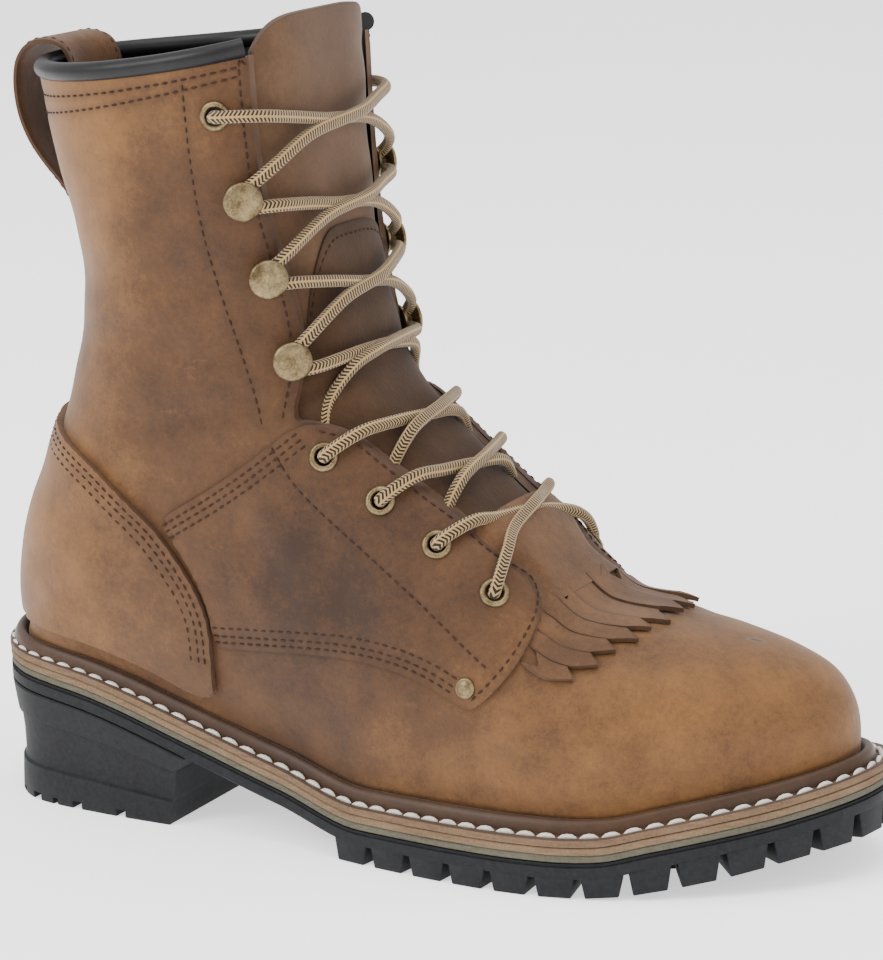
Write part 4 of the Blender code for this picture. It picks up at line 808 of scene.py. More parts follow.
class Workshop:
    """Makes meshes and objects, dresses them and hands them to the frame."""

    def __init__(self, shift: np.ndarray, slots: Sequence[str]) -> None:
        self.shift = shift
        self.slots = slots
        self.materials = {finish: look.build() for finish, look in FINISHES.items()}

    def mesh(self, name: str, points: np.ndarray, faces: Sequence[Sequence[int]],
             uvs: Optional[np.ndarray] = None) -> bpy.types.Object:
        """Object from points in the boot's axes and faces.

        Args:
            name: Name of the object.
            points: Its vertices.
            faces: Its faces, by vertex.
            uvs: UV place of each vertex.

        Returns:
            The object, in the row frame.
        """
        data = bpy.data.meshes.new(name)
        data.from_pydata((points + self.shift).tolist(), [], [list(face) for face in faces])
        if uvs is not None:
            layer = data.uv_layers.new(name="UVMap")
            corners = np.empty(len(data.loops), dtype=np.int32)
            data.loops.foreach_get("vertex_index", corners)
            layer.data.foreach_set("uv", uvs[corners].ravel())
        shape = bpy.data.objects.new(name, data)
        bpy.context.scene.collection.objects.link(shape)
        return shape

    def only(self, shape: bpy.types.Object) -> None:
        """Selects one object and makes it active."""
        bpy.ops.object.select_all(action="DESELECT")
        shape.select_set(True)
        bpy.context.view_layer.objects.active = shape

    def outward(self, shape: bpy.types.Object, merge: float = 0.0) -> None:
        """Merges doubles and turns the faces of a closed shape outwards."""
        self.only(shape)
        bpy.ops.object.mode_set(mode="EDIT")
        bpy.ops.mesh.select_all(action="SELECT")
        if merge > 0.0:
            bpy.ops.mesh.remove_doubles(threshold=merge)
        bpy.ops.mesh.normals_make_consistent(inside=False)
        bpy.ops.object.mode_set(mode="OBJECT")

    def modify(self, shape: bpy.types.Object, kind: str, **settings) -> None:
        """Adds a modifier and applies it."""
        self.only(shape)
        modifier = shape.modifiers.new(kind.lower(), kind)
        for key, value in settings.items():
            setattr(modifier, key, value)
        bpy.ops.object.modifier_apply(modifier=modifier.name)

    def cut(self, shape: bpy.types.Object, cutter: bpy.types.Object, operation: str,
            folded: bool = False) -> None:
        """Cuts a shape, which may be folded into itself, with a form, which is then removed."""
        self.modify(shape, "BOOLEAN", operation=operation, solver="EXACT", object=cutter, use_self=folded)
        bpy.data.objects.remove(cutter)

    def dress(self, shape: bpy.types.Object, finishes: Sequence[Finish], angle: float = 40.0) -> None:
        """Gives a shape its finishes, smooth shading and body."""
        if len(shape.data.materials) < len(finishes):
            for _ in range(len(finishes) - len(shape.data.materials)):
                shape.data.materials.append(None)
        for index, finish in enumerate(finishes):
            shape.data.materials[index] = self.materials[finish]
        self.only(shape)
        bpy.ops.object.shade_smooth_by_angle(angle=math.radians(angle))
        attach(shape, BODY)

    def joined(self, shapes: Sequence[bpy.types.Object]) -> bpy.types.Object:
        """Joins shapes into the first one."""
        mesh = bmesh.new()
        for shape in shapes:
            mesh.from_mesh(shape.data)
        mesh.to_mesh(shapes[0].data)
        mesh.free()
        for shape in shapes[1:]:
            bpy.data.objects.remove(shape)
        return shapes[0]

    def paint(self, shape: bpy.types.Object, name: str, values: np.ndarray) -> None:
        """Stores a value for each vertex."""
        layer = shape.data.attributes.new(name, "FLOAT", "POINT")
        layer.data.foreach_set("value", values.astype(np.float32))

    def places(self, shape: bpy.types.Object) -> np.ndarray:
        """Vertices in the boot's axes."""
        flat = np.empty(3 * len(shape.data.vertices), dtype=np.float32)
        shape.data.vertices.foreach_get("co", flat)
        return flat.reshape(-1, 3).astype(float) - self.shift

    def stamped(self, name: str, template: bpy.types.Object,
                frames: Sequence[np.ndarray]) -> bpy.types.Object:
        """Copies of a small shape, one for each frame, as one object."""
        flat = np.empty(3 * len(template.data.vertices), dtype=np.float32)
        template.data.vertices.foreach_get("co", flat)
        local = np.hstack([flat.reshape(-1, 3), np.ones((len(flat) // 3, 1))])
        faces = [tuple(polygon.vertices) for polygon in template.data.polygons]
        points, every = [], []
        for index, frame in enumerate(frames):
            points.append((local @ frame.T)[:, :3])
            base = index * len(local)
            every.extend(tuple(base + corner for corner in face) for face in faces)
        return self.mesh(name, np.vstack(points), every)

    def sweep(self, name: str, path: np.ndarray, profile: np.ndarray, ups: np.ndarray, closed: bool,
              capped: bool) -> bpy.types.Object:
        """Sweeps a profile along a path.

        Args:
            name: Name of the object.
            path: Points of the path.
            profile: Points of the profile, across and up; closed.
            ups: Up direction at each point of the path.
            closed: Whether the path is a ring.
            capped: Whether the ends are closed.

        Returns:
            The swept object, with UVs in metres along it and turns round it.
        """
        ahead = unit(np.gradient(path, axis=0))
        if closed:
            ahead = unit(np.roll(path, -1, 0) - np.roll(path, 1, 0))
        out = unit(np.cross(ahead, ups))
        up = np.cross(out, ahead)
        count = len(profile)
        sideways = out[:, None, :] * profile[None, :, :1]
        rings = path[:, None, :] + sideways + up[:, None, :] * profile[None, :, 1:]
        faces = []
        last = len(path) if closed else len(path) - 1
        for i in range(last):
            k = (i + 1) % len(path)
            for j in range(count):
                m = (j + 1) % count
                faces.append((i * count + j, i * count + m, k * count + m, k * count + j))
        if capped and not closed:
            faces.append(tuple(range(count))[::-1])
            faces.append(tuple((len(path) - 1) * count + j for j in range(count)))
        runs = np.concatenate([[0.0], np.cumsum(np.linalg.norm(np.diff(path, axis=0), axis=1))])
        uvs = np.stack(np.broadcast_arrays(runs[:, None], np.arange(count)[None, :] / count),
                       -1).reshape(-1, 2)
        shape = self.mesh(name, rings.reshape(-1, 3), faces, uvs)
        return shape


def slab_faces(count_u: int, count_v: int, flip: bool) -> list[tuple[int, int, int, int]]:
    """Faces of a closed slab: two grids of equal size, the outer one first, joined round their rim."""
    size = count_u * count_v
    faces = []
    for i in range(count_u - 1):
        for j in range(count_v - 1):
            a, b = i * count_v + j, i * count_v + j + 1
            c, d = (i + 1) * count_v + j + 1, (i + 1) * count_v + j
            faces.append((a, b, c, d))
            faces.append((size + d, size + c, size + b, size + a))
    rim = [j for j in range(count_v - 1)]
    rim += [i * count_v + count_v - 1 for i in range(count_u - 1)]
    rim += [(count_u - 1) * count_v + j for j in range(count_v - 1, 0, -1)]
    rim += [i * count_v for i in range(count_u - 1, 0, -1)]
    for a, b in zip(rim, rim[1:] + rim[:1]):
        faces.append((b, a, size + a, size + b))
    if flip:
        faces = [face[::-1] for face in faces]
    return faces


@dataclass
class Seam:
    """A row of stitches on the leather: rows and turns of its line, and how far out it lies."""

    rows: np.ndarray
    turns: np.ndarray
    lift: float

    def line(self, last: Last) -> np.ndarray:
        """Points of the seam on the plain surface."""
        return last.points(self.rows, self.turns)


class SeamBook:
    """All rows of stitches of the upper."""

    def __init__(self, last: Last) -> None:
        self.last = last
        self.seams: dict[str, list[Seam]] = {"counter": [], "quarter": [], "shaft": []}
        top = PANEL + GAP
        for side in Side:
            for inset in (2.2, 4.6, 7.6):
                self.add("counter", COUNTER_EDGE, side, -inset, GAP + COUNTER_WALL)
            for inset in (2.2, 4.6, 7.0):
                self.add("quarter", QUARTER_TOP[::-1], side, -inset, top)
            for inset in (2.2, 4.4, 7.2):
                self.add("quarter", QUARTER_LOWER[:-1], side, inset, top)
            self.add("quarter", QUARTER_TIP + QUARTER_FACING, side, 2.6, top)
            self.add("quarter", STAY_ROW, side, 0.0, top)
            self.add("shaft", SHAFT_ROW, side, 0.0, 0.0)
            self.add("shaft", THROAT[1:9], side, -2.8, 0.0)
            for drop in (0.985, 0.970):
                self.collar(side, drop)

    def add(self, group: str, chain: Sequence[Sequence[float]], side: Side, inset: float,
            lift: float) -> None:
        """Adds a row beside a line of the side view; inset is in mm, to the left of the line's run."""
        rows, turns = self.last.beside(chain, side, inset * MM, 4.0 * MM)
        self.seams[group].append(Seam(rows, turns, lift))

    def collar(self, side: Side, share: float) -> None:
        """Adds a row under the collar's roll."""
        turns = np.linspace(0.33, 0.94, 60) * side.value
        self.seams["shaft"].append(Seam(np.full(60, LAST_ROW * share), turns, 0.0))

    def near(self, *groups: str) -> Nearness:
        """Distance to the seams of some groups."""
        clouds = [even(seam.line(self.last), 0.7 * MM) for group in groups for seam in self.seams[group]]
        return Nearness(np.vstack(clouds))


STAY_ROW = (
    (0.4020, 0.408), (0.4300, 0.340), (0.4850, 0.270), (0.5400, 0.205), (0.5900, 0.145), (0.6250, 0.100),
    (0.6500, 0.072),
)
SHAFT_ROW = (
    (0.3280, 1.010), (0.3300, 0.930), (0.3350, 0.820), (0.3480, 0.700), (0.3640, 0.600), (0.3780, 0.520),
    (0.3900, 0.440),
)


class UpperMaker:
    """Upper, quarters and counter."""

    def __init__(self, shop: Workshop, last: Last, seams: SeamBook) -> None:
        self.shop = shop
        self.last = last
        self.seams = seams

    def shell(self, name: str, rows: np.ndarray, turns: np.ndarray, lift: float, thickness: float,
              seam: Nearness,
              rim: Optional[Nearness], sides: Sequence[Side]) -> bpy.types.Object:
        """Closed leather sheet on the upper's surface.

        Args:
            name: Name of the object.
            rows: Rows of its grid.
            turns: Turns of its grid on one side, rising from the front.
            lift: Height of its outer face over the surface.
            thickness: Its thickness.
            seam: Where stitches draw it in.
            rim: Where its edge thins out.
            sides: The sides that it covers, welded at the front and the back.

        Returns:
            The object; its inner faces have material 1.
        """
        points, faces, inner = [], [], []
        base = 0
        for side in sides:
            u, v = np.meshgrid(rows, turns * side.value, indexing="ij")
            plain = self.last.points(u, v)
            flat = plain.reshape(-1, 3)
            reach = lift - 0.28 * MM * np.exp(-(seam.far(flat) / (1.1 * MM)) ** 2)
            if rim is not None:
                reach = reach - 0.55 * MM * np.exp(-(rim.far(flat) / (1.0 * MM)) ** 2)
            reach = reach.reshape(u.shape) + self.last.wear(plain)
            normal = self.last.normals(u, v)
            outer = plain + normal * reach[..., None]
            under = plain + normal * (reach - thickness)[..., None]
            points += [outer.reshape(-1, 3), under.reshape(-1, 3)]
            made = slab_faces(len(rows), len(turns), side is Side.INNER)
            faces += [tuple(base + corner for corner in face) for face in made]
            size = u.size
            inner += [min(face) >= size for face in made]
            base += 2 * size
        shape = self.shop.mesh(name, np.vstack(points), faces)
        shape.data.materials.append(None)
        shape.data.materials.append(None)
        shape.data.polygons.foreach_set("material_index", np.array(inner, dtype=np.int32))
        if len(sides) > 1:
            self.weld(shape)
        self.shop.outward(shape)
        return shape

    def weld(self, shape: bpy.types.Object) -> None:
        """Joins the two sides of a sheet and drops the walls that end up inside it."""
        mesh = bmesh.new()
        mesh.from_mesh(shape.data)
        bmesh.ops.remove_doubles(mesh, verts=mesh.verts, dist=0.02 * MM)
        seen: dict[frozenset, list] = {}
        for face in mesh.faces:
            seen.setdefault(frozenset(vert.index for vert in face.verts), []).append(face)
        doubles = [face for group in seen.values() if len(group) > 1 for face in group]
        bmesh.ops.delete(mesh, geom=doubles, context="FACES")
        mesh.to_mesh(shape.data)
        mesh.free()

    def prism(self, chain: Sequence[Sequence[float]], y_from: float, y_to: float) -> bpy.types.Object:
        """Cutter: a soft outline of the side view extruded across the boot."""
        ring = soft(chain, True)
        x = ring[:, 0] * SOLE_LENGTH
        z = self.last.base + ring[:, 1] * SHAFT_HEIGHT
        near = np.stack([x, np.full_like(x, y_from), z], 1)
        far = np.stack([x, np.full_like(x, y_to), z], 1)
        count = len(ring)
        faces = [(j, (j + 1) % count, count + (j + 1) % count, count + j) for j in range(count)]
        faces += [tuple(range(count))[::-1], tuple(range(count, 2 * count))]
        form = self.shop.mesh("form", np.vstack([near, far]), faces)
        self.shop.outward(form)
        return form

    def holes(self, frames: Sequence[np.ndarray]) -> bpy.types.Object:
        """Cutter for the eyelet holes."""
        hole = hole_template()
        form = self.shop.stamped("hole_form", hole, frames)
        bpy.data.objects.remove(hole)
        return form

    def edge(self, chain: Sequence[Sequence[float]], closed: bool, sides: Sequence[Side]) -> Nearness:
        """Distance to a panel's outline on the surface."""
        ring = np.array(chain)
        if closed:
            ring = np.vstack([ring, ring[:1]])
        clouds = []
        for side in sides:
            rows, turns = self.last.find(even(soft(ring, False), 0.006), side)
            clouds.append(even(self.last.points(rows, turns), 0.6 * MM))
        return Nearness(np.vstack(clouds))

    def paint(self, shape: bpy.types.Object, seam: Nearness, rim: Nearness) -> None:
        """Paints tone (painted light and shade), seam and rim on a leather piece."""
        spots = self.shop.places(shape)
        view = self.last.view_of(spots)
        # tone: painted light and shade, paler where the light falls and darker in shade
        tone = np.zeros(len(spots))
        for along, height, reach, amount in PAINTED_LIGHT_AND_SHADE:
            far = np.hypot(view[:, 0] - along, (view[:, 1] - height) * SHAFT_HEIGHT / SOLE_LENGTH)
            tone += amount * np.exp(-(far / reach) ** 2)
        self.shop.paint(shape, "tone", tone)
        self.shop.paint(shape, "seam", np.exp(-(seam.far(spots) / (1.5 * MM)) ** 2))
        self.shop.paint(shape, "rim", np.exp(-(rim.far(spots) / (1.3 * MM)) ** 2))

    def make(self, frames: Sequence[np.ndarray]) -> None:
        """Makes the three kinds of leather pieces."""
        both = (Side.OUTER, Side.INNER)
        rows = np.concatenate([np.linspace(0, 5, 26)[:-1], np.linspace(5, 12, 64)[:-1],
                               np.linspace(12, 19, 30)[:-1],
                               np.linspace(19, LAST_ROW, 90)])
        throat = self.edge(THROAT[1:17], False, both)
        quarter_rim = self.edge(QUARTER, True, both)
        counter_rim = self.edge(COUNTER_EDGE, False, both)
        seam = self.seams.near("shaft")
        upper = self.shell("upper_leather", rows, np.linspace(0, 1, 64), 0.0, WALL, seam, throat, both)
        self.shop.cut(upper, self.prism(THROAT, -SOLE_WIDTH, SOLE_WIDTH), "DIFFERENCE")
        self.shop.cut(upper, self.holes(frames), "DIFFERENCE")
        self.paint(upper, seam, throat)
        self.shop.dress(upper, (Finish.LEATHER, Finish.LINING))
        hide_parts("upper", "vamp")
        rows = np.concatenate([np.linspace(6, 12, 84)[:-1], np.linspace(12, 19, 46)[:-1],
                               np.linspace(19, 22, 36)])
        seam = self.seams.near("quarter")
        for side, node in ((Side.OUTER, "quarter_outer"), (Side.INNER, "quarter_inner")):
            panel = self.shell(node + "_leather", rows, np.linspace(0.1, 1.0, 84), GAP + PANEL, PANEL,
                               seam, quarter_rim, (side,))
            self.shop.cut(panel, self.prism(QUARTER, 0.0, side.value * SOLE_WIDTH), "INTERSECT")
            self.shop.cut(panel, self.holes(frames), "DIFFERENCE")
            self.paint(panel, seam, quarter_rim)
            self.shop.dress(panel, (Finish.LEATHER, Finish.LEATHER))
            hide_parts(node)
        rows = np.concatenate([np.linspace(11, 19, 50)[:-1], np.linspace(19, 24, 44)])
        seam = self.seams.near("counter")
        halves = []
        for side in both:
            half = self.shell("counter_leather", rows, np.linspace(0.3, 1.0, 60), GAP + COUNTER_WALL,
                              COUNTER_WALL, seam,
                              counter_rim, (side,))
            self.shop.cut(half, self.prism(COUNTER, side.value * -GAP, side.value * SOLE_WIDTH),
                          "INTERSECT", True)
            halves.append(half)
        counter = self.shop.joined(halves)
        self.paint(counter, seam, counter_rim)
        self.shop.dress(counter, (Finish.LEATHER, Finish.LEATHER))
        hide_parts("counter")


def hole_template() -> bpy.types.Object:
    """Cylinder that opens an eyelet hole, along its own Z."""
    bpy.ops.object.select_all(action="DESELECT")
    bpy.ops.mesh.primitive_cylinder_add(vertices=24, radius=3.3 * MM, depth=20.0 * MM)
    return bpy.context.object


class Stitcher:
    """Stitches along the seams."""

    LENGTH = 2.5 * MM
    PITCH = 3.3 * MM
    THICK = 0.36 * MM

    def __init__(self, shop: Workshop, last: Last) -> None:
        self.shop = shop
        self.last = last

    def template(self, length: float, thick: float) -> bpy.types.Object:
        """One stitch along X: a sphere drawn out, its ends pushed down into the leather."""
        bpy.ops.object.select_all(action="DESELECT")
        bpy.ops.mesh.primitive_uv_sphere_add(segments=6, ring_count=6, radius=1.0,
                                             rotation=(0.0, math.pi / 2.0, 0.0))
        stitch = bpy.context.object
        bpy.ops.object.transform_apply(location=False, rotation=True, scale=False)
        bpy.ops.object.mode_set(mode="EDIT")
        bpy.ops.mesh.select_all(action="SELECT")
        bpy.ops.transform.resize(value=(0.5 * length, thick, thick))
        bpy.ops.object.mode_set(mode="OBJECT")
        for vert in stitch.data.vertices:
            end = abs(vert.co.x) / (0.5 * length)
            vert.co.z -= 0.9 * thick * end ** 3
        return stitch

    def frames(self, points: np.ndarray, normals: np.ndarray, pitch: float,
               sink: float) -> list[np.ndarray]:
        """Frames along a line, X ahead and Z out of the leather."""
        both = even(np.hstack([points, normals * 0.0001]), pitch)
        spots, ups = both[:, :3], unit(both[:, 3:])
        middle = 0.5 * (spots[1:] + spots[:-1])
        ahead = unit(spots[1:] - spots[:-1])
        up = unit(ups[1:] + ups[:-1])
        across = unit(np.cross(up, ahead))
        up = np.cross(ahead, across)
        frames = []
        for m, a, c, u in zip(middle, ahead, across, up):
            frame = np.eye(4)
            frame[:3, 0], frame[:3, 1], frame[:3, 2], frame[:3, 3] = a, c, u, m + u * sink
            frames.append(frame)
        return frames

    def sew(self, name: str, seams: Sequence[Seam]) -> None:
        """Makes the stitches of a group of seams."""
        stitch = self.template(self.LENGTH, self.THICK)
        frames: list[np.ndarray] = []
        for seam in seams:
            points = self.last.lifted(seam.rows, seam.turns, seam.lift)
            frames += self.frames(points, self.last.normals(seam.rows, seam.turns), self.PITCH, -0.12 * MM)
        rows = self.shop.stamped(name, stitch, frames)
        bpy.data.objects.remove(stitch)
        self.shop.dress(rows, (Finish.THREAD,), 60.0)


class SoleMaker:
    """Welt, layers, outsole and heel."""

    COUNT = 300

    def __init__(self, shop: Workshop, sole: Sole, stitcher: Stitcher) -> None:
        self.shop = shop
        self.sole = sole
        self.stitcher = stitcher

    def rings(self, name: str, profile: Sequence[tuple[float, float, float]],
              closed: bool) -> bpy.types.Object:
        """Loft round the sole, of insets, margins and heights over the welt's underside."""
        rings = []
        for inset, margins, height in profile:
            ring = self.sole.outline(inset, margins, self.COUNT)
            rings.append(np.column_stack([ring, self.sole.lift(ring[:, 0]) + height]))
        count = self.COUNT
        faces = []
        pairs = list(zip(range(len(rings)), range(1, len(rings))))
        if closed:
            pairs.append((len(rings) - 1, 0))
        for i, k in pairs:
            for j in range(count):
                m = (j + 1) % count
                faces.append((i * count + j, i * count + m, k * count + m, k * count + j))
        if not closed:
            for start in (0, (len(rings) - 1) * count):
                for j in range(count // 2 - 1):
                    a, b = start + j, start + j + 1
                    c, d = start + (count - j - 1) % count, start + (count - j) % count
                    faces.append((a, b, c) if d == a else (a, b, c, d))
        shape = self.shop.mesh(name, np.vstack(rings), faces)
        self.shop.outward(shape, 0.001 * MM)
        return shape

    def layer(self, name: str, node: str, finish: Finish, top: float, bottom: float, bulge: float) -> None:
        """One flat layer with a softly rounded edge."""
        soft_edge = 0.35 * MM
        profile = ((soft_edge - bulge, 0.0, bottom), (-bulge, 0.0, bottom + soft_edge),
                   (-bulge, 0.0, top - soft_edge),
                   (soft_edge - bulge, 0.0, top))
        shape = self.rings(name, profile, False)
        self.shop.dress(shape, (finish,))
        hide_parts(node)

    def welt(self) -> None:
        """Welt with its rand bead, the groove for the stitches between them."""
        top = WELT_THICKNESS
        w, h = BEAD_WIDTH, BEAD_HEIGHT
        profile = (
            (0.8 * WALL, 1.0, GAP), (0.0, 0.0, GAP), (-0.15 * MM, 0.0, 0.9 * MM),
            (-0.1 * MM, 0.0, top - 0.5 * MM),
            (0.45 * MM, 0.0, top), (1.2 * MM, 0.0, top), (1.9 * MM, 0.0, top - 0.5 * MM),
            (-w - 1.1 * MM, 1.0, top - 0.7 * MM), (-w - 0.4 * MM, 1.0, top - 0.3 * MM),
            (-w - 0.1 * MM, 1.0, top + 0.3 * h),
            (-0.92 * w, 1.0, top + 0.62 * h), (-0.80 * w, 1.0, top + 0.86 * h),
            (-0.62 * w, 1.0, top + 0.99 * h),
            (-0.46 * w, 1.0, top + 0.97 * h), (-0.30 * w, 1.0, top + 0.78 * h),
            (-0.18 * w, 1.0, top + 0.40 * h),
            (-0.10 * w, 1.0, top), (0.8 * WALL, 1.0, top),
        )
        shape = self.rings("welt_strip", profile, True)
        shape.data.materials.append(None)
        shape.data.materials.append(None)
        heights = np.array([polygon.center.z for polygon in shape.data.polygons])
        xs = np.array([polygon.center.x for polygon in shape.data.polygons]) - self.shop.shift[0]
        low = (heights - self.sole.lift(xs)) < top - 0.55 * MM
        shape.data.polygons.foreach_set("material_index", low.astype(np.int32))
        self.shop.dress(shape, (Finish.WELT, Finish.EDGE))
        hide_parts("welt")
        outer = self.sole.outline(1.9 * MM, 0.0, 600)
        inner = self.sole.outline(-w - 1.1 * MM, 1.0, 600)
        ring = 0.5 * (outer + inner)
        ring = np.vstack([ring, ring[:1]])
        line = np.column_stack([ring, self.sole.lift(ring[:, 0]) + top - 0.35 * MM])
        ups = np.tile(np.array([0.0, 0.0, 1.0]), (len(line), 1))
        stitch = self.stitcher.template(6.4 * MM, 0.95 * MM)
        frames = self.stitcher.frames(line, ups, 6.9 * MM, 0.25 * MM)
        slant = np.array(Matrix.Rotation(math.radians(7.0), 4, "Z"))
        thread = self.shop.stamped("welt_stitches", stitch, [frame @ slant for frame in frames])
        bpy.data.objects.remove(stitch)
        self.shop.dress(thread, (Finish.WELT_THREAD,), 60.0)

    def block(self) -> bpy.types.Object:
        """One lug: a cube with its edges rounded; the lug's corners draw its ground face in."""
        bpy.ops.object.select_all(action="DESELECT")
        bpy.ops.mesh.primitive_cube_add(size=2.0)
        lug = bpy.context.object
        bpy.ops.object.mode_set(mode="EDIT")
        bpy.ops.mesh.select_all(action="SELECT")
        bpy.ops.mesh.bevel(offset=0.09, segments=2, affect="EDGES")
        bpy.ops.object.mode_set(mode="OBJECT")
        return lug

    def fitted(self, template: bpy.types.Object, corners: Sequence[np.ndarray]) -> np.ndarray:
        """Vertices of the template moved into a block of eight corners, low four first."""
        low, high = np.array(corners[:4]), np.array(corners[4:])
        flat = np.array([tuple(vert.co) for vert in template.data.vertices])
        u, v, w = (0.5 + 0.5 * flat[:, k] for k in range(3))
        plain = []
        for four in (low, high):
            plain.append(four[0] * ((1 - u) * (1 - v))[:, None] + four[1] * (u * (1 - v))[:, None]
                         + four[2] * (u * v)[:, None] + four[3] * ((1 - u) * v)[:, None])
        return plain[0] * (1 - w)[:, None] + plain[1] * w[:, None]

    def outsole(self) -> None:
        """Base plate with its rows of lugs."""
        above = MIDSOLE_THICKNESS + FOAM_THICKNESS
        edge = 0.6 * MM
        bottom = -above - BASE_THICKNESS
        profile = ((edge, 0.0, bottom), (0.0, 0.0, bottom + edge), (0.0, 0.0, -above - 1.6 * MM),
                   (0.5 * MM, 0.0, -above - 1.3 * MM), (0.5 * MM, 0.0, -above - 0.9 * MM),
                   (0.0, 0.0, -above - 0.6 * MM), (0.3 * MM, 0.0, -above - GAP))
        plate = self.rings("outsole_plate", profile, False)
        template = self.block()
        faces = [tuple(polygon.vertices) for polygon in template.data.polygons]
        points, every = [], []
        for corners in self.lugs():
            placed = self.fitted(template, corners)
            base = sum(len(part) for part in points)
            points.append(placed)
            every += [tuple(base + corner for corner in face) for face in faces]
        bpy.data.objects.remove(template)
        lugs = self.shop.mesh("outsole_lugs", np.vstack(points), every)
        self.shop.outward(lugs)
        self.shop.dress(lugs, (Finish.RUBBER,))
        self.shop.dress(plate, (Finish.RUBBER,))
        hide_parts("outsole")

    def lugs(self) -> list[list[np.ndarray]]:
        """Corners of every lug of the forepart."""
        fine = 800
        outer = self.sole.outline(0.1 * MM, 0.0, fine)
        inner = self.sole.outline(21.0 * MM, 0.0, fine)
        half = fine // 2
        made = []
        for out, inn in ((outer[:half], inner[:half]),
                         (np.roll(outer[::-1], 1, 0)[:half], np.roll(inner[::-1], 1, 0)[:half])):
            runs = np.concatenate([[0.0], np.cumsum(np.linalg.norm(np.diff(out, axis=0), axis=1))])
            for k in range(int(0.555 * runs[-1] / LUG_PITCH)):
                centre = (k + 0.5) * LUG_PITCH
                corners = []
                for root in (False, True):
                    reach = 0.5 * (LUG_PITCH - (0.30 if root else 1.05) * LUG_GAP)
                    for run, ring in ((centre - reach, out), (centre + reach, out), (centre + reach, inn),
                                      (centre - reach, inn)):
                        x, y = (float(np.interp(run, runs, ring[:, axis])) for axis in (0, 1))
                        z = float(self.sole.base(x)) + 1.6 * MM if root else float(self.sole.tread(x))
                        corners.append(np.array([x, y, z]))
                made.append(corners)
        for k in range(8):
            x = (0.475 + 0.055 * k) * SOLE_LENGTH
            place = np.array(x / SOLE_LENGTH)
            centre = float(column(OUTLINE, 1, place)) * SOLE_WIDTH
            half_width = float(column(OUTLINE, 2,
                                      place)) * SOLE_WIDTH * math.sin(math.acos(2.0 * x / SOLE_LENGTH - 1.0))
            reach = half_width - 27.0 * MM
            if reach < 6.0 * MM:
                continue
            slant = 4.0 * MM if k % 2 else -4.0 * MM
            corners = []
            for root in (False, True):
                grow = 0.6 * MM if root else 0.0
                for dx, side in ((-4.4 * MM - grow, -1.0), (4.4 * MM + grow, -1.0), (4.4 * MM + grow, 1.0),
                                 (-4.4 * MM - grow, 1.0)):
                    px = x + dx + slant * side
                    z = float(self.sole.base(px)) + 1.2 * MM if root else float(self.sole.tread(px))
                    corners.append(np.array([px, centre + side * reach, z]))
            made.append(corners)
        return made

    def heel(self) -> None:
        """Heel block: hollow at the back, with a step round its side and notches at the ground."""
        count = 160
        levels = (
            # height share, inset, breast
            (1.00, 0.4, 0.0), (0.985, 0.0, 0.0), (0.76, 1.2, 4.0), (0.735, 1.4, 4.2), (0.72, 2.4, 5.0),
            (0.55, 3.0, 5.8),
            (0.36, 3.1, 6.6), (0.32, 2.9, 6.8), (0.30, 2.0, 7.0), (0.16, 1.7, 7.4), (0.02, 1.5, 8.0),
            (0.0, 1.9, 8.2),
        )
        rings = []
        for share, inset, breast in levels:
            points = self.sole.outline(inset * MM, 0.0, 2000)
            keep = points[points[:, 0] < HEEL_LENGTH + (8.0 - breast) * MM]
            keep = keep[np.argsort(np.arctan2(keep[:, 1], keep[:, 0] - HEEL_LENGTH) % (2.0 * math.pi))]
            ring = even(keep, 1.0 * MM)
            runs = np.linspace(0.0, 1.0, len(ring))
            spots = np.linspace(0.0, 1.0, count)
            ring = np.stack([np.interp(spots, runs, ring[:, k]) for k in (0, 1)], 1)
            rings.append(np.column_stack([ring, share * (self.sole.base(ring[:, 0]) - GAP)]))
        faces = []
        for i in range(len(rings) - 1):
            for j in range(count):
                m = (j + 1) % count
                faces.append((i * count + j, i * count + m, (i + 1) * count + m, (i + 1) * count + j))
        for start in (0, (len(rings) - 1) * count):
            for j in range(count // 2 - 1):
                faces.append((start + j, start + j + 1, start + count - 2 - j, start + count - 1 - j))
        block = self.shop.mesh("heel_block", np.vstack(rings), faces)
        self.shop.outward(block)
        across, round_back = [], []
        for k in range(3):
            x = (0.26 + 0.24 * k) * HEEL_LENGTH
            across.append(np.array([[2.0 * MM, 0, 0, x], [0, 60.0 * MM, 0, 0], [0, 0, 2.6 * MM, 0],
                                    [0, 0, 0, 1.0]]))
        for k in range(-5, 6):
            angle = math.pi + k * 0.27
            turn = np.array(Matrix.Rotation(angle, 4, "Z")) @ np.diag([6.0 * MM, 1.1 * MM, 2.2 * MM, 1.0])
            turn[:2, 3] = (37.0 * MM + 39.0 * MM * math.cos(angle), 39.0 * MM * math.sin(angle))
            round_back.append(turn)
        cube = self.block()
        for cutters in (across, round_back):
            form = self.shop.stamped("heel_form", cube, cutters)
            self.shop.outward(form)
            self.shop.cut(block, form, "DIFFERENCE")
        bpy.data.objects.remove(cube)
        self.shop.dress(block, (Finish.RUBBER,), 35.0)
        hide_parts("heel")

    def make(self) -> None:
        """Makes all layers."""
        self.layer("leather_layer", "midsole", Finish.STACK, 0.0, -MIDSOLE_THICKNESS, 0.0)
        self.layer("grey_layer", "midsole_rubber", Finish.FOAM, -MIDSOLE_THICKNESS - 0.1 * MM,
                   -MIDSOLE_THICKNESS - FOAM_THICKNESS, -0.2 * MM)
        self.welt()
        self.outsole()
        self.heel()


LUG_PITCH = 15.2 * MM
LUG_GAP = 4.2 * MM


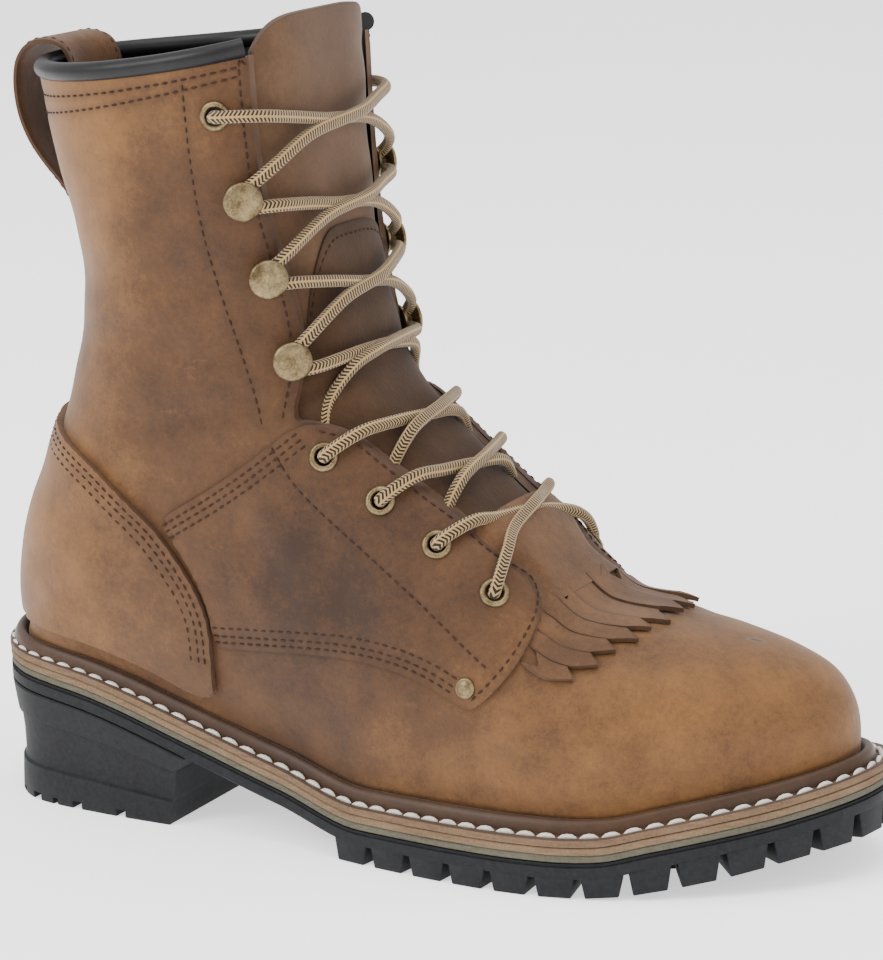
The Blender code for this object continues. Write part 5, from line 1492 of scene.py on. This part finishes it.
class FittingMaker:
    """Eyelets, hooks and rivets, each modelled once and copied."""

    def __init__(self, shop: Workshop, last: Last) -> None:
        self.shop = shop
        self.last = last

    def frame(self, place: Sequence[float], side: Side, lift: float) -> np.ndarray:
        """Frame on the leather at a place of the side view, Z outwards and Y up."""
        rows, turns = self.last.find([place], side)
        normal = self.last.normals(rows, turns)[0]
        across = unit(np.cross(np.array([0.0, 0.0, 1.0]), normal))
        frame = np.eye(4)
        frame[:3, 0], frame[:3, 1], frame[:3, 2] = across, np.cross(normal, across), normal
        frame[:3, 3] = self.last.points(rows, turns)[0] + normal * lift
        return frame

    def seat(self, place: Sequence[float]) -> float:
        """Height of the leather under a fitting."""
        return GAP + PANEL if place[1] < 0.5 else 0.0

    def eyelet_frames(self) -> list[np.ndarray]:
        """Frames of the eyelets, from the top, outer side first."""
        return [self.frame(place, side, self.seat(place)) for place in EYELETS for side in Side]

    def ring(self) -> bpy.types.Object:
        """Eyelet: a circle extruded into a barrel, rolled out into a lip."""
        bpy.ops.object.select_all(action="DESELECT")
        bpy.ops.mesh.primitive_circle_add(vertices=32, radius=2.75 * MM, location=(0.0, 0.0, -3.2 * MM))
        eyelet = bpy.context.object
        bpy.ops.object.mode_set(mode="EDIT")
        bpy.ops.mesh.select_all(action="SELECT")
        steps = ((3.6, 1.0), (0.5, 1.05), (0.32, 1.10), (0.12, 1.14), (-0.10, 1.13), (-0.28, 1.11),
                 (-0.42, 1.05), (-0.30, 1.0))
        for rise, grow in steps:
            bpy.ops.mesh.extrude_region_move(TRANSFORM_OT_translate={"value": (0.0, 0.0, rise * MM)})
            bpy.ops.transform.resize(value=(grow, grow, 1.0), center_override=(0.0, 0.0, 0.0))
        bpy.ops.object.mode_set(mode="OBJECT")
        bpy.ops.object.transform_apply(location=True, rotation=True, scale=True)
        self.shop.modify(eyelet, "SOLIDIFY", thickness=0.25 * MM, offset=-1.0)
        return eyelet

    def hook(self) -> bpy.types.Object:
        """Speed hook: a round base plate, a neck and a domed cap."""
        bpy.ops.object.select_all(action="DESELECT")
        bpy.ops.mesh.primitive_circle_add(vertices=32, radius=5.4 * MM, fill_type="NGON",
                                          location=(0.0, 0.0, 0.2 * MM))
        hook = bpy.context.object
        bpy.ops.object.mode_set(mode="EDIT")
        bpy.ops.mesh.select_all(action="SELECT")
        steps = ((0.7, 1.0), (0.25, 0.94), (0.05, 0.52), (0.7, 0.76), (2.5, 1.0), (0.5, 1.35), (0.1, 2.2),
                 (0.45, 1.06),
                 (0.45, 0.99), (0.5, 0.92), (0.4, 0.80), (0.3, 0.62), (0.12, 0.40))
        for rise, grow in steps:
            bpy.ops.mesh.extrude_region_move(TRANSFORM_OT_translate={"value": (0.0, 0.0, rise * MM)})
            bpy.ops.transform.resize(value=(grow, grow, 1.0), center_override=(0.0, 0.0, 0.0))
        bpy.ops.object.mode_set(mode="OBJECT")
        bpy.ops.object.transform_apply(location=True, rotation=True, scale=True)
        return hook

    def rivet(self) -> bpy.types.Object:
        """Rivet: a rimmed disc with a low dome."""
        bpy.ops.object.select_all(action="DESELECT")
        bpy.ops.mesh.primitive_circle_add(vertices=28, radius=3.35 * MM, fill_type="NGON")
        rivet = bpy.context.object
        bpy.ops.object.mode_set(mode="EDIT")
        bpy.ops.mesh.select_all(action="SELECT")
        for rise, grow in ((0.5, 1.0), (0.35, 0.94), (0.12, 0.82), (-0.12, 0.92), (0.30, 0.80),
                           (0.18, 0.66), (0.06, 0.4)):
            bpy.ops.mesh.extrude_region_move(TRANSFORM_OT_translate={"value": (0.0, 0.0, rise * MM)})
            bpy.ops.transform.resize(value=(grow, grow, 1.0), center_override=(0.0, 0.0, 0.0))
        bpy.ops.object.mode_set(mode="OBJECT")
        return rivet

    def make(self) -> None:
        """Makes and places every fitting."""
        groups = (
            ("eyelet", self.ring, EYELETS),
            ("hook", self.hook, HOOKS),
            ("rivet", self.rivet, (RIVET,)),
        )
        for kind, model, places in groups:
            template = model()
            for number, place in enumerate(places):
                for side, label in ((Side.OUTER, "outer"), (Side.INNER, "inner")):
                    lift = GAP + PANEL if kind == "rivet" else self.seat(place)
                    frame = self.frame(place, side, lift)
                    node = "%s_%s_%d" % (kind, label, number + 1) if kind != "rivet" else "rivet_" + label
                    piece = self.shop.stamped(node + "_brass", template, [frame])
                    self.shop.outward(piece)
                    self.shop.dress(piece, (Finish.BRASS,), 50.0)
                    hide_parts(node)
            bpy.data.objects.remove(template)


class TongueMaker:
    """Tongue with its suede patch, kiltie, collar roll and pull strap."""

    SPREAD = ((8.0, 0.300), (9.0, 0.330), (11.0, 0.360), (14.0, 0.400), (22.0, 0.390), (26.0, 0.330),
              (29.0, 0.268))
    PATCH = (8.2, 22.6)
    CORNER = 0.93
    CORNER_POWER = 3.2
    TOP_RISE = 0.93 * TONGUE_RISE
    KILTIE_ROOT = 10.2
    KILTIE_FRONT = 7.12
    KILTIE_SWEEP = 5.6
    KILTIE_SPREAD = 0.40
    # length beyond the common edge in rows, lift of the tip in mm, slit start
    LOCKS = (
        (0.02, 0.2, 0.80), (0.08, 0.3, 0.62), (0.02, 0.5, 0.58), (0.07, 0.2, 0.50), (0.00, 0.5, 0.56),
        (0.06, 0.3, 0.46),
        (0.02, 0.7, 0.54), (0.06, 0.6, 0.60), (0.02, 1.6, 0.56), (0.05, 0.9, 0.66), (0.02, 0.5, 0.72),
        (0.04, 0.3, 0.80),
    )
    STRAP_FOOT = 23.25
    STRAP_TOP = 26.6
    LOOP_DEPTH = 10.5 * MM
    LOOP_HEIGHT = 10.0 * MM
    LOOP = (
        (0.43, -2.70, 0.50), (0.86, -1.70, 0.20), (1.00, -0.70, 0.05), (0.92, 0.20, 0.00),
        (0.62, 0.72, 0.00),
        (0.20, 0.98, 0.00), (-0.35, 1.02, 0.30), (-0.74, 0.82, 0.80), (-0.90, 0.25, 1.30),
        (-0.88, -0.70, 1.30),
        (-0.76, -2.00, 1.30),
    )

    def __init__(self, shop: Workshop, last: Last, upper: UpperMaker, stitcher: Stitcher) -> None:
        self.shop = shop
        self.last = last
        self.upper = upper
        self.stitcher = stitcher

    def slab(self, name: str, outer: np.ndarray, inner: np.ndarray, finish: Finish) -> bpy.types.Object:
        """Closed sheet between two grids of points, painted as plain leather."""
        count_u, count_v = outer.shape[:2]
        points = np.vstack([outer.reshape(-1, 3), inner.reshape(-1, 3)])
        shape = self.shop.mesh(name, points, slab_faces(count_u, count_v, False))
        self.shop.outward(shape)
        rim = np.zeros((count_u, count_v))
        rim[0], rim[-1], rim[:, 0], rim[:, -1] = 1.0, 1.0, 1.0, 1.0
        both = np.concatenate([rim.ravel(), rim.ravel()])
        for attribute, values in (("rim", both), ("seam", 0.0 * both), ("tone", 0.0 * both)):
            self.shop.paint(shape, attribute, values)
        self.shop.dress(shape, (finish,))
        return shape

    def tongue_grid(self, rows: np.ndarray, shares: np.ndarray, lift: float) -> np.ndarray:
        """Points on the tongue's surface, raised by lift."""
        u, v = np.meshgrid(rows, shares, indexing="ij")
        spread = column(self.SPREAD, 1, rows)[:, None]
        turns = v * spread
        plain = self.last.points(u, turns)
        pillow = 0.9 * MM * np.cos(0.5 * math.pi * v) + 0.35 * MM * np.sin(2.1 * u + 3.0 * v)
        return plain + self.last.normals(u, turns) * (lift + pillow - 0.9 * MM)[..., None]

    def tongue(self) -> None:
        """Tongue, from under the vamp up past the collar."""
        rows = np.linspace(8.0, LAST_ROW, 150)
        shares = np.linspace(-1.0, 1.0, 61)
        grids = []
        for lift in (-WALL - TONGUE_DEPTH, -WALL - TONGUE_DEPTH - TONGUE_WALL):
            grid = self.tongue_grid(rows, shares, lift)
            top = grid[-1]
            rings = []
            for rise in np.linspace(0.08, 1.0, 12):
                cut = 1.0 - self.CORNER * np.abs(shares) ** self.CORNER_POWER
                step = self.TOP_RISE * rise * cut
                rings.append(top + np.outer(step, np.array([-0.02, 0.0, 1.0])))
            grids.append(np.concatenate([grid, np.array(rings)]))
        shape = self.slab("tongue_leather", grids[0], grids[1], Finish.TONGUE)
        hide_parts("tongue")
        foot, top_row = self.PATCH
        rows = np.linspace(foot, top_row, 120)
        shares = np.linspace(-0.97, 0.97, 49)
        outer = np.empty((len(rows), len(shares), 3))
        inner = np.empty_like(outer)
        near_side = 3.4 * np.clip((-shares - 0.05) / 0.55, 0.0, 1.0) ** 1.6
        bend = near_side + 1.2 * np.clip(shares / 0.8, 0.0, 1.0) ** 2
        for j, drop in enumerate(bend):
            fresh = foot + (top_row - drop - foot) * (rows - foot) / (top_row - foot)
            outer[:, j] = self.tongue_grid(fresh, shares[j:j + 1], -WALL - TONGUE_DEPTH + 0.75 * MM)[:, 0]
            inner[:, j] = self.tongue_grid(fresh, shares[j:j + 1], -WALL - TONGUE_DEPTH - 0.2 * MM)[:, 0]
        self.slab("tongue_patch", outer, inner, Finish.SUEDE)
        seam = outer[-4]
        across = np.gradient(outer, axis=1)[-4]
        ups = unit(np.cross(np.gradient(outer, axis=0)[-4], across)) * -1.0
        frames = self.stitcher.frames(seam, ups, 3.0 * MM, 0.1 * MM)
        stitch = self.stitcher.template(2.2 * MM, 0.33 * MM)
        row = self.shop.stamped("tongue_stitches", stitch, frames)
        bpy.data.objects.remove(stitch)
        self.shop.dress(row, (Finish.THREAD,), 60.0)

    def kiltie(self) -> None:
        """Fringe over the throat: a root band and pointed locks, tucked under the quarters."""
        quarter = self.upper.edge(QUARTER, True, (Side.OUTER, Side.INNER))
        pitch = 2.0 * self.KILTIE_SPREAD / len(self.LOCKS)
        grids = []
        for k, (longer, curl, slit) in enumerate(self.LOCKS):
            gap = 0.0011
            turns = np.linspace(-self.KILTIE_SPREAD + k * pitch + gap,
                                -self.KILTIE_SPREAD + (k + 1) * pitch - gap, 9)
            shares = np.linspace(slit - 0.06, 1.0, 22)
            tooth = np.array([0.0, 0.33, 0.68, 1.0, 0.84, 0.64, 0.42, 0.20, 0.0])
            front = self.KILTIE_FRONT + self.KILTIE_SWEEP * turns ** 2 - longer - 0.36 * tooth
            grids.append((shares, turns, front, curl * MM, k))
        root_turns = np.linspace(-self.KILTIE_SPREAD, self.KILTIE_SPREAD, 81)
        root_front = self.KILTIE_FRONT + self.KILTIE_SWEEP * root_turns ** 2
        root_shares = np.linspace(0.0, 0.54, 34)
        grids.append((root_shares, root_turns, root_front, 0.0, 0))
        faces, points = [], []
        base = 0
        rim_all = []
        for shares, turns, front, curl, k in grids:
            rows = self.KILTIE_ROOT + (front[None, :] - self.KILTIE_ROOT) * shares[:, None]
            wide = np.broadcast_to(turns[None, :], rows.shape)
            plain = self.last.points(rows, wide)
            view = self.last.view_of(plain.reshape(-1, 3))
            away = np.where(inside(view, QUARTER), -1.0, 1.0) * quarter.far(plain.reshape(-1, 3))
            room = np.clip(away / (4.0 * MM), 0.0, 1.0).reshape(rows.shape)
            room = room * room * (3.0 - 2.0 * room)
            tip = np.clip((shares[:, None] - 0.45) / 0.55, 0.0, 1.0) ** 2
            roll = 0.18 * MM * math.sin(2.3 * k) if k else 0.0
            lift = 0.15 * MM + room * (1.5 * MM + curl * tip + roll)
            lift = lift + self.last.wear(plain)
            normal = self.last.normals(rows, wide)
            outer = plain + normal * lift[..., None]
            inner = plain + normal * (lift - 1.5 * MM * (0.35 + 0.65 * room))[..., None]
            made = slab_faces(len(shares), len(turns), False)
            points += [outer.reshape(-1, 3), inner.reshape(-1, 3)]
            faces += [tuple(base + corner for corner in face) for face in made]
            rim = np.zeros(rows.shape)
            if len(turns) < 20:
                rim[-1], rim[:, 0], rim[:, -1] = 1.0, 0.8, 0.8
            rim_all += [rim.ravel(), rim.ravel()]
            base += 2 * rows.size
        shape = self.shop.mesh("kiltie_fringe", np.vstack(points), faces)
        self.shop.outward(shape)
        rims = np.concatenate(rim_all)
        for attribute, values in (("rim", rims), ("seam", 0.0 * rims), ("tone", 0.25 + 0.0 * rims)):
            self.shop.paint(shape, attribute, values)
        self.shop.dress(shape, (Finish.KILTIE,))
        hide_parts("kiltie")

    def collar(self) -> None:
        """Padded roll round the collar."""
        start = float(self.last.find([(0.3885, 1.03)], Side.OUTER)[1][0])
        turns = np.concatenate([np.linspace(start, -0.995, 90), np.linspace(0.995, -start, 90)])
        rows = np.full(len(turns), LAST_ROW)
        normal = self.last.normals(rows, turns)
        normal[:, 2] = 0.0
        normal = unit(normal)
        path = self.last.points(rows, turns) - normal * (0.5 * WALL) + np.array([0.0, 0.0, ROLL_RISE])
        path = even(path, 2.0 * MM)
        angle = np.linspace(0.0, 2.0 * math.pi, 20, endpoint=False)
        profile = ROLL_SEEN * np.stack([np.cos(angle), np.sin(angle)], 1)
        ups = np.tile(np.array([0.0, 0.0, 1.0]), (len(path), 1))
        shape = self.shop.sweep("collar_padding", path, profile, ups, False, True)
        self.shop.outward(shape)
        self.shop.dress(shape, (Finish.BLACK,), 60.0)
        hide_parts("collar_roll")

    def strap(self) -> None:
        """Strap up the back seam that loops over the collar, with its edge stitches."""
        rows = np.linspace(self.STRAP_FOOT, self.STRAP_TOP, 9)
        turn = np.ones(len(rows))
        spots = self.last.points(rows, turn) + self.last.normals(rows, turn) * (GAP + 0.5 * STRAP_WALL)
        back = self.last.points(np.array([LAST_ROW]), np.array([1.0]))[0]
        stations = [(spot[0], spot[2], 1.0) for spot in spots]
        stations += [(back[0] - behind * self.LOOP_DEPTH, back[2] + above * self.LOOP_HEIGHT,
                      wrap) for behind, above, wrap in self.LOOP]
        line = even(soft(stations, False, 3), 1.6 * MM)
        half = 0.5 * STRAP_WIDTH
        shares = np.linspace(-1.0, 1.0, 17)
        ahead = unit(np.gradient(line[:, :2], axis=0))
        out = np.stack([-ahead[:, 1], ahead[:, 0]], 1)
        grids = []
        for level in (0.5, -0.5):
            rim = np.where(np.abs(shares) > 0.99, 0.55, 1.0)
            reach = level * STRAP_WALL * rim
            bend = STRAP_WRAP * line[:, 2:3] * shares[None, :] ** 2
            x = line[:, :1] + out[:, :1] * reach[None, :] + bend
            z = line[:, 1:2] + out[:, 1:] * reach[None, :]
            y = np.broadcast_to(shares * half, x.shape)
            grids.append(np.stack([x, y, z], -1))
        shape = self.slab("pull_strap_leather", grids[0], grids[1], Finish.LEATHER)
        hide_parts("pull_strap")
        stitch = self.stitcher.template(2.6 * MM, 0.38 * MM)
        frames = []
        for edge in (1, len(shares) - 2):
            points = grids[0][:-10, edge]
            ups = np.column_stack([out[:-10, 0], np.zeros(len(points)), out[:-10, 1]])
            frames += self.stitcher.frames(points, ups, 3.4 * MM, 0.02 * MM)
        rows_made = self.shop.stamped("strap_stitches", stitch, frames)
        bpy.data.objects.remove(stitch)
        self.shop.dress(rows_made, (Finish.THREAD,), 60.0)

    def make(self) -> None:
        """Makes all four."""
        self.tongue()
        self.kiltie()
        self.collar()
        self.strap()


def inside(points: np.ndarray, chain: Sequence[Sequence[float]]) -> np.ndarray:
    """Whether points of the side view lie inside an outline."""
    ring = np.array(chain)
    after = np.roll(ring, -1, 0)
    odd = np.zeros(len(points), dtype=bool)
    for (x0, z0), (x1, z1) in zip(ring, after):
        crosses = (z0 > points[:, 1]) != (z1 > points[:, 1])
        slope = (x1 - x0) / (z1 - z0) if z1 != z0 else 0.0
        odd ^= crosses & (points[:, 0] < x0 + slope * (points[:, 1] - z0))
    return odd


@dataclass(frozen=True)
class Way:
    """A point that the lace passes: row, turn and height over the surface in mm."""

    row: float
    turn: float
    lift: float


class LaceMaker:
    """The lace, run through its eyelets and round its hooks."""

    OVER = 3.9
    UNDER = -4.2
    TONGUE = -0.6

    def __init__(self, shop: Workshop, last: Last) -> None:
        self.shop = shop
        self.last = last
        places = [self.spot(place) for place in EYELETS]
        self.top, self.low = places[0], places[1:]
        self.hooks = [self.spot(place) for place in HOOKS]

    def spot(self, place: Sequence[float]) -> tuple[float, float]:
        """Row and turn of a fitting, without its side."""
        rows, turns = self.last.find([place], Side.INNER)
        return float(rows[0]), float(turns[0])

    def edge(self, row: float) -> float:
        """Turn of the facing's edge at a row."""
        table = ((8.0, 0.19), (9.3, 0.188), (10.5, 0.187), (11.6, 0.213), (12.9, 0.245), (13.56, 0.29),
                 (14.4, 0.30),
                 (16.0, 0.255), (19.7, 0.245), (24.3, 0.272), (28.4, 0.289))
        return float(column(table, 1, np.array(row)))

    def crossing(self, start: tuple[float, float], end: tuple[float, float], side: float,
                 leaves_under: bool,
                 rise: float) -> list[Way]:
        """Ways from a fitting on one side to one on the other, over the throat."""
        way = []
        (row0, turn0), (row1, turn1) = start, end
        edge0, edge1 = self.edge(row0), self.edge(row1)
        total = turn0 + turn1
        share0 = (turn0 - edge0) / total
        share1 = 1.0 - (turn1 - edge1) / total

        def on_run(share: float, lift: float) -> Way:
            """A point at a share of the run."""
            return Way(row0 + (row1 - row0) * share, side * (turn0 - total * share), lift)

        if leaves_under:
            way.append(on_run(0.4 * share0, self.UNDER))
            way.append(on_run(share0, self.UNDER + 0.6))
        else:
            way.append(on_run(0.5 * share0, self.OVER))
            way.append(on_run(share0 + 0.02, self.OVER - 0.5))
        for share in (0.36, 0.5, 0.64):
            hump = rise * math.exp(-((share - 0.5) / 0.14) ** 2)
            way.append(on_run(share, self.TONGUE + 1.0 + hump))
        way.append(on_run(share1 - 0.02, self.OVER - 0.5))
        way.append(on_run(0.5 + 0.5 * share1, self.OVER))
        return way

    def through(self, place: tuple[float, float], side: float, inward: bool) -> list[Way]:
        """Ways through an eyelet."""
        row, turn = place
        levels = (2.6, 0.4, -2.6, -4.4) if inward else (-4.4, -2.6, 0.4, 2.6)
        return [Way(row, side * turn, level) for level in levels]

    def round_hook(self, place: tuple[float, float], side: float) -> list[Way]:
        """Ways round a hook's neck, from below to above on the side away from the throat."""
        row, turn = place
        reach_row, reach_turn = 0.20, 0.026
        made = []
        for angle in np.linspace(-80.0, 80.0, 7):
            c, s = math.cos(math.radians(angle)), math.sin(math.radians(angle))
            made.append(Way(row + reach_row * s, side * (turn + reach_turn * c), 2.9))
        return made

    def half(self, side: float) -> list[Way]:
        """One end of the lace, from the middle of its bottom bar up to its top eyelet."""
        low = self.low
        way = [Way(low[3][0], 0.0, -4.6), Way(low[3][0], side * 0.15, -4.6)]
        way += self.through(low[3], side, False)
        under = False
        here, at = low[3], side
        for target in (low[2], low[1], low[0]):
            way += self.crossing(here, target, at, under, 2.4 if at < 0.0 else 0.2)
            at = -at
            way += self.through(target, at, True)
            here, under = target, True
        for hook in reversed(self.hooks):
            way += self.crossing(here, (hook[0] - 0.2, hook[1] + 0.004), at, under,
                                 2.2 if at < 0.0 else 0.0)
            at = -at
            way += self.round_hook(hook, at)
            here, under = (hook[0] + 0.2, hook[1] + 0.004), False
        way += self.crossing(here, self.top, at, False, 2.2 if at < 0.0 else 0.0)
        way += self.through(self.top, -at, True)[:3]
        return way

    def make(self) -> None:
        """Makes the lace as two cords that meet in the bottom bar."""
        nodes = ["lace_crossing_%d" % number for number in range(1, 8)]
        for side, name in ((-1.0, "lace_outer_start"), (1.0, "lace_inner_start")):
            way = self.half(side)
            rows = np.array([w.row for w in way])
            turns = np.array([w.turn for w in way])
            lifts = np.array([w.lift for w in way]) * MM
            spots = self.last.points(rows, turns) + self.last.normals(rows, turns) * lifts[:, None]
            path = even(catmull(spots, 10), 0.8 * MM)
            ahead = unit(np.gradient(path, axis=0))
            ups = [np.array([0.0, 0.0, 1.0])]
            for direction in ahead[1:]:
                up = ups[-1] - direction * float(np.dot(ups[-1], direction))
                ups.append(unit(up))
            angle = np.linspace(0.0, 2.0 * math.pi, 12, endpoint=False)
            profile = LACE_RADIUS * np.stack([np.cos(angle), 0.86 * np.sin(angle)], 1)
            cord = self.shop.sweep(name, path, profile, np.array(ups), False, True)
            scale_uv(cord, 1.0 / (1.25 * MM))
            self.shop.outward(cord)
            self.shop.dress(cord, (Finish.LACE,), 60.0)
            if side < 0.0:
                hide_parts(*nodes)


def catmull(points: np.ndarray, steps: int) -> np.ndarray:
    """Smooth chain through points."""
    padded = np.vstack([2 * points[0] - points[1], points, 2 * points[-1] - points[-2]])
    chain = []
    for p0, p1, p2, p3 in zip(padded, padded[1:], padded[2:], padded[3:]):
        spans = [max(np.linalg.norm(b - a), 1e-6) ** 0.5 for a, b in ((p0, p1), (p1, p2), (p2, p3))]
        m1 = ((p1 - p0) / spans[0] - (p2 - p0) / (spans[0] + spans[1]) + (p2 - p1) / spans[1]) * spans[1]
        m2 = ((p2 - p1) / spans[1] - (p3 - p1) / (spans[1] + spans[2]) + (p3 - p2) / spans[2]) * spans[1]
        for t in np.linspace(0.0, 1.0, steps, endpoint=False):
            chain.append((2 * t ** 3 - 3 * t ** 2 + 1) * p1 + (t ** 3 - 2 * t ** 2 + t) * m1
                         + (-2 * t ** 3 + 3 * t ** 2) * p2 + (t ** 3 - t ** 2) * m2)
    chain.append(points[-1])
    return np.array(chain)


def scale_uv(shape: bpy.types.Object, factor: float) -> None:
    """Scales the UVs along a cord, and closes them round it."""
    layer = shape.data.uv_layers[0]
    values = np.empty(2 * len(layer.data), dtype=np.float32)
    layer.data.foreach_get("uv", values)
    pairs = values.reshape(-1, 2)
    pairs[:, 0] *= factor
    start = 0
    for polygon in shape.data.polygons:
        stop = start + polygon.loop_total
        if polygon.loop_total == 4:
            corner = pairs[start:stop, 1]
            if corner.max() - corner.min() > 0.5:
                corner[corner < 0.5] += 1.0
        start = stop
    layer.data.foreach_set("uv", pairs.ravel())


class Studio:
    """Floor, lights and camera."""

    def __init__(self, shift: np.ndarray) -> None:
        self.shift = shift

    def floor(self) -> None:
        """Pale floor."""
        bpy.ops.object.select_all(action="DESELECT")
        bpy.ops.mesh.primitive_plane_add(size=12.0)
        floor = bpy.context.object
        floor.name = "studio_floor"
        g = ShaderGraph("studio_paper")
        tone = g.noise(3.0, 2.0)
        colour = g.ramp(tone, (0.3, (0.985, 0.985, 0.985)), (0.7, (1.0, 1.0, 1.0)))
        floor.data.materials.append(g.finish(Base_Color=colour, Roughness=0.9, Specular_IOR_Level=0.1,
                                             Emission_Color=colour, Emission_Strength=0.9))

    def area(self, name: str, place: Sequence[float], size: float, power: float, colour: Colour) -> None:
        """Square soft light aimed at the boot."""
        data = bpy.data.lights.new(name, "AREA")
        data.size = size
        data.energy = power
        data.color = colour
        light = bpy.data.objects.new(name, data)
        light.location = place
        aim = Vector((0.0, 0.0, 0.12)) - Vector(place)
        light.rotation_euler = aim.to_track_quat("-Z", "Y").to_euler()
        bpy.context.scene.collection.objects.link(light)

    def lights(self) -> None:
        """Key from the front left, a broad top light and a soft fill."""
        self.area("key", (-1.1, -1.5, 1.5), 1.0, 34.0, (1.0, 0.98, 0.95))
        self.area("top", (0.1, -0.1, 1.9), 1.6, 26.0, (1.0, 1.0, 1.0))
        self.area("fill", (1.5, -1.1, 0.7), 1.4, 9.0, (1.0, 0.99, 0.97))
        world = bpy.data.worlds.new("studio_air")
        world.use_nodes = True
        back = world.node_tree.nodes["Background"]
        back.inputs["Color"].default_value = (1.0, 1.0, 1.0, 1.0)
        back.inputs["Strength"].default_value = 1.15
        bpy.context.scene.world = world

    def camera(self) -> None:
        """Camera of the photograph."""
        a, e, roll = CAMERA_TURN, CAMERA_RISE, CAMERA_ROLL
        back = Vector((math.sin(a) * math.cos(e), -math.cos(a) * math.cos(e), math.sin(e)))
        right = Vector((math.cos(a), math.sin(a), 0.0))
        up = back.cross(right)
        turned_right = math.cos(roll) * right + math.sin(roll) * up
        turned_up = -math.sin(roll) * right + math.cos(roll) * up
        data = bpy.data.cameras.new("photo_camera")
        data.lens = CAMERA_LENS
        data.sensor_width = 36.0
        data.clip_start = 0.05
        camera = bpy.data.objects.new("photo_camera", data)
        frame = Matrix((turned_right, turned_up, back)).transposed().to_4x4()
        frame.translation = Vector(CAMERA_AIM) + back * CAMERA_REACH + Vector(self.shift)
        camera.matrix_world = frame
        bpy.context.scene.collection.objects.link(camera)
        bpy.context.scene.camera = camera

    def make(self) -> None:
        """Sets the studio."""
        self.floor()
        self.lights()
        self.camera()


def corners(box: Sequence[Vector]) -> list[list[float]]:
    """Two corners as plain lists."""
    return [[float(value) for value in corner] for corner in box]


def main() -> None:
    """Builds the looks over the frame."""
    logging.basicConfig(level=logging.INFO)
    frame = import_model()
    sole = Sole()
    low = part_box("midsole")[0]
    outline = sole.outline(0.0, 0.0, 42)
    shift = np.array([low[0] - float(outline[:, 0].min()), low[1] - float(outline[:, 1].min()), 0.0])
    last = Last(sole)
    shop = Workshop(shift, [material["slot"] for material in frame["record"]["materials"]])
    stitcher = Stitcher(shop, last)
    fittings = FittingMaker(shop, last)
    seams = SeamBook(last)
    upper = UpperMaker(shop, last, seams)
    LOG.info("sole")
    SoleMaker(shop, sole, stitcher).make()
    LOG.info("upper")
    upper.make(fittings.eyelet_frames())
    for group, rows in seams.seams.items():
        stitcher.sew(group + "_stitches", rows)
    LOG.info("tongue, kiltie, collar and strap")
    TongueMaker(shop, last, upper, stitcher).make()
    fittings.make()
    LaceMaker(shop, last).make()
    insole = frame["nodes"]["insole"]
    insole.data.materials.clear()
    insole.data.materials.append(shop.materials[Finish.BOARD])
    Studio(shift).make()


if __name__ == "__main__":
    main()
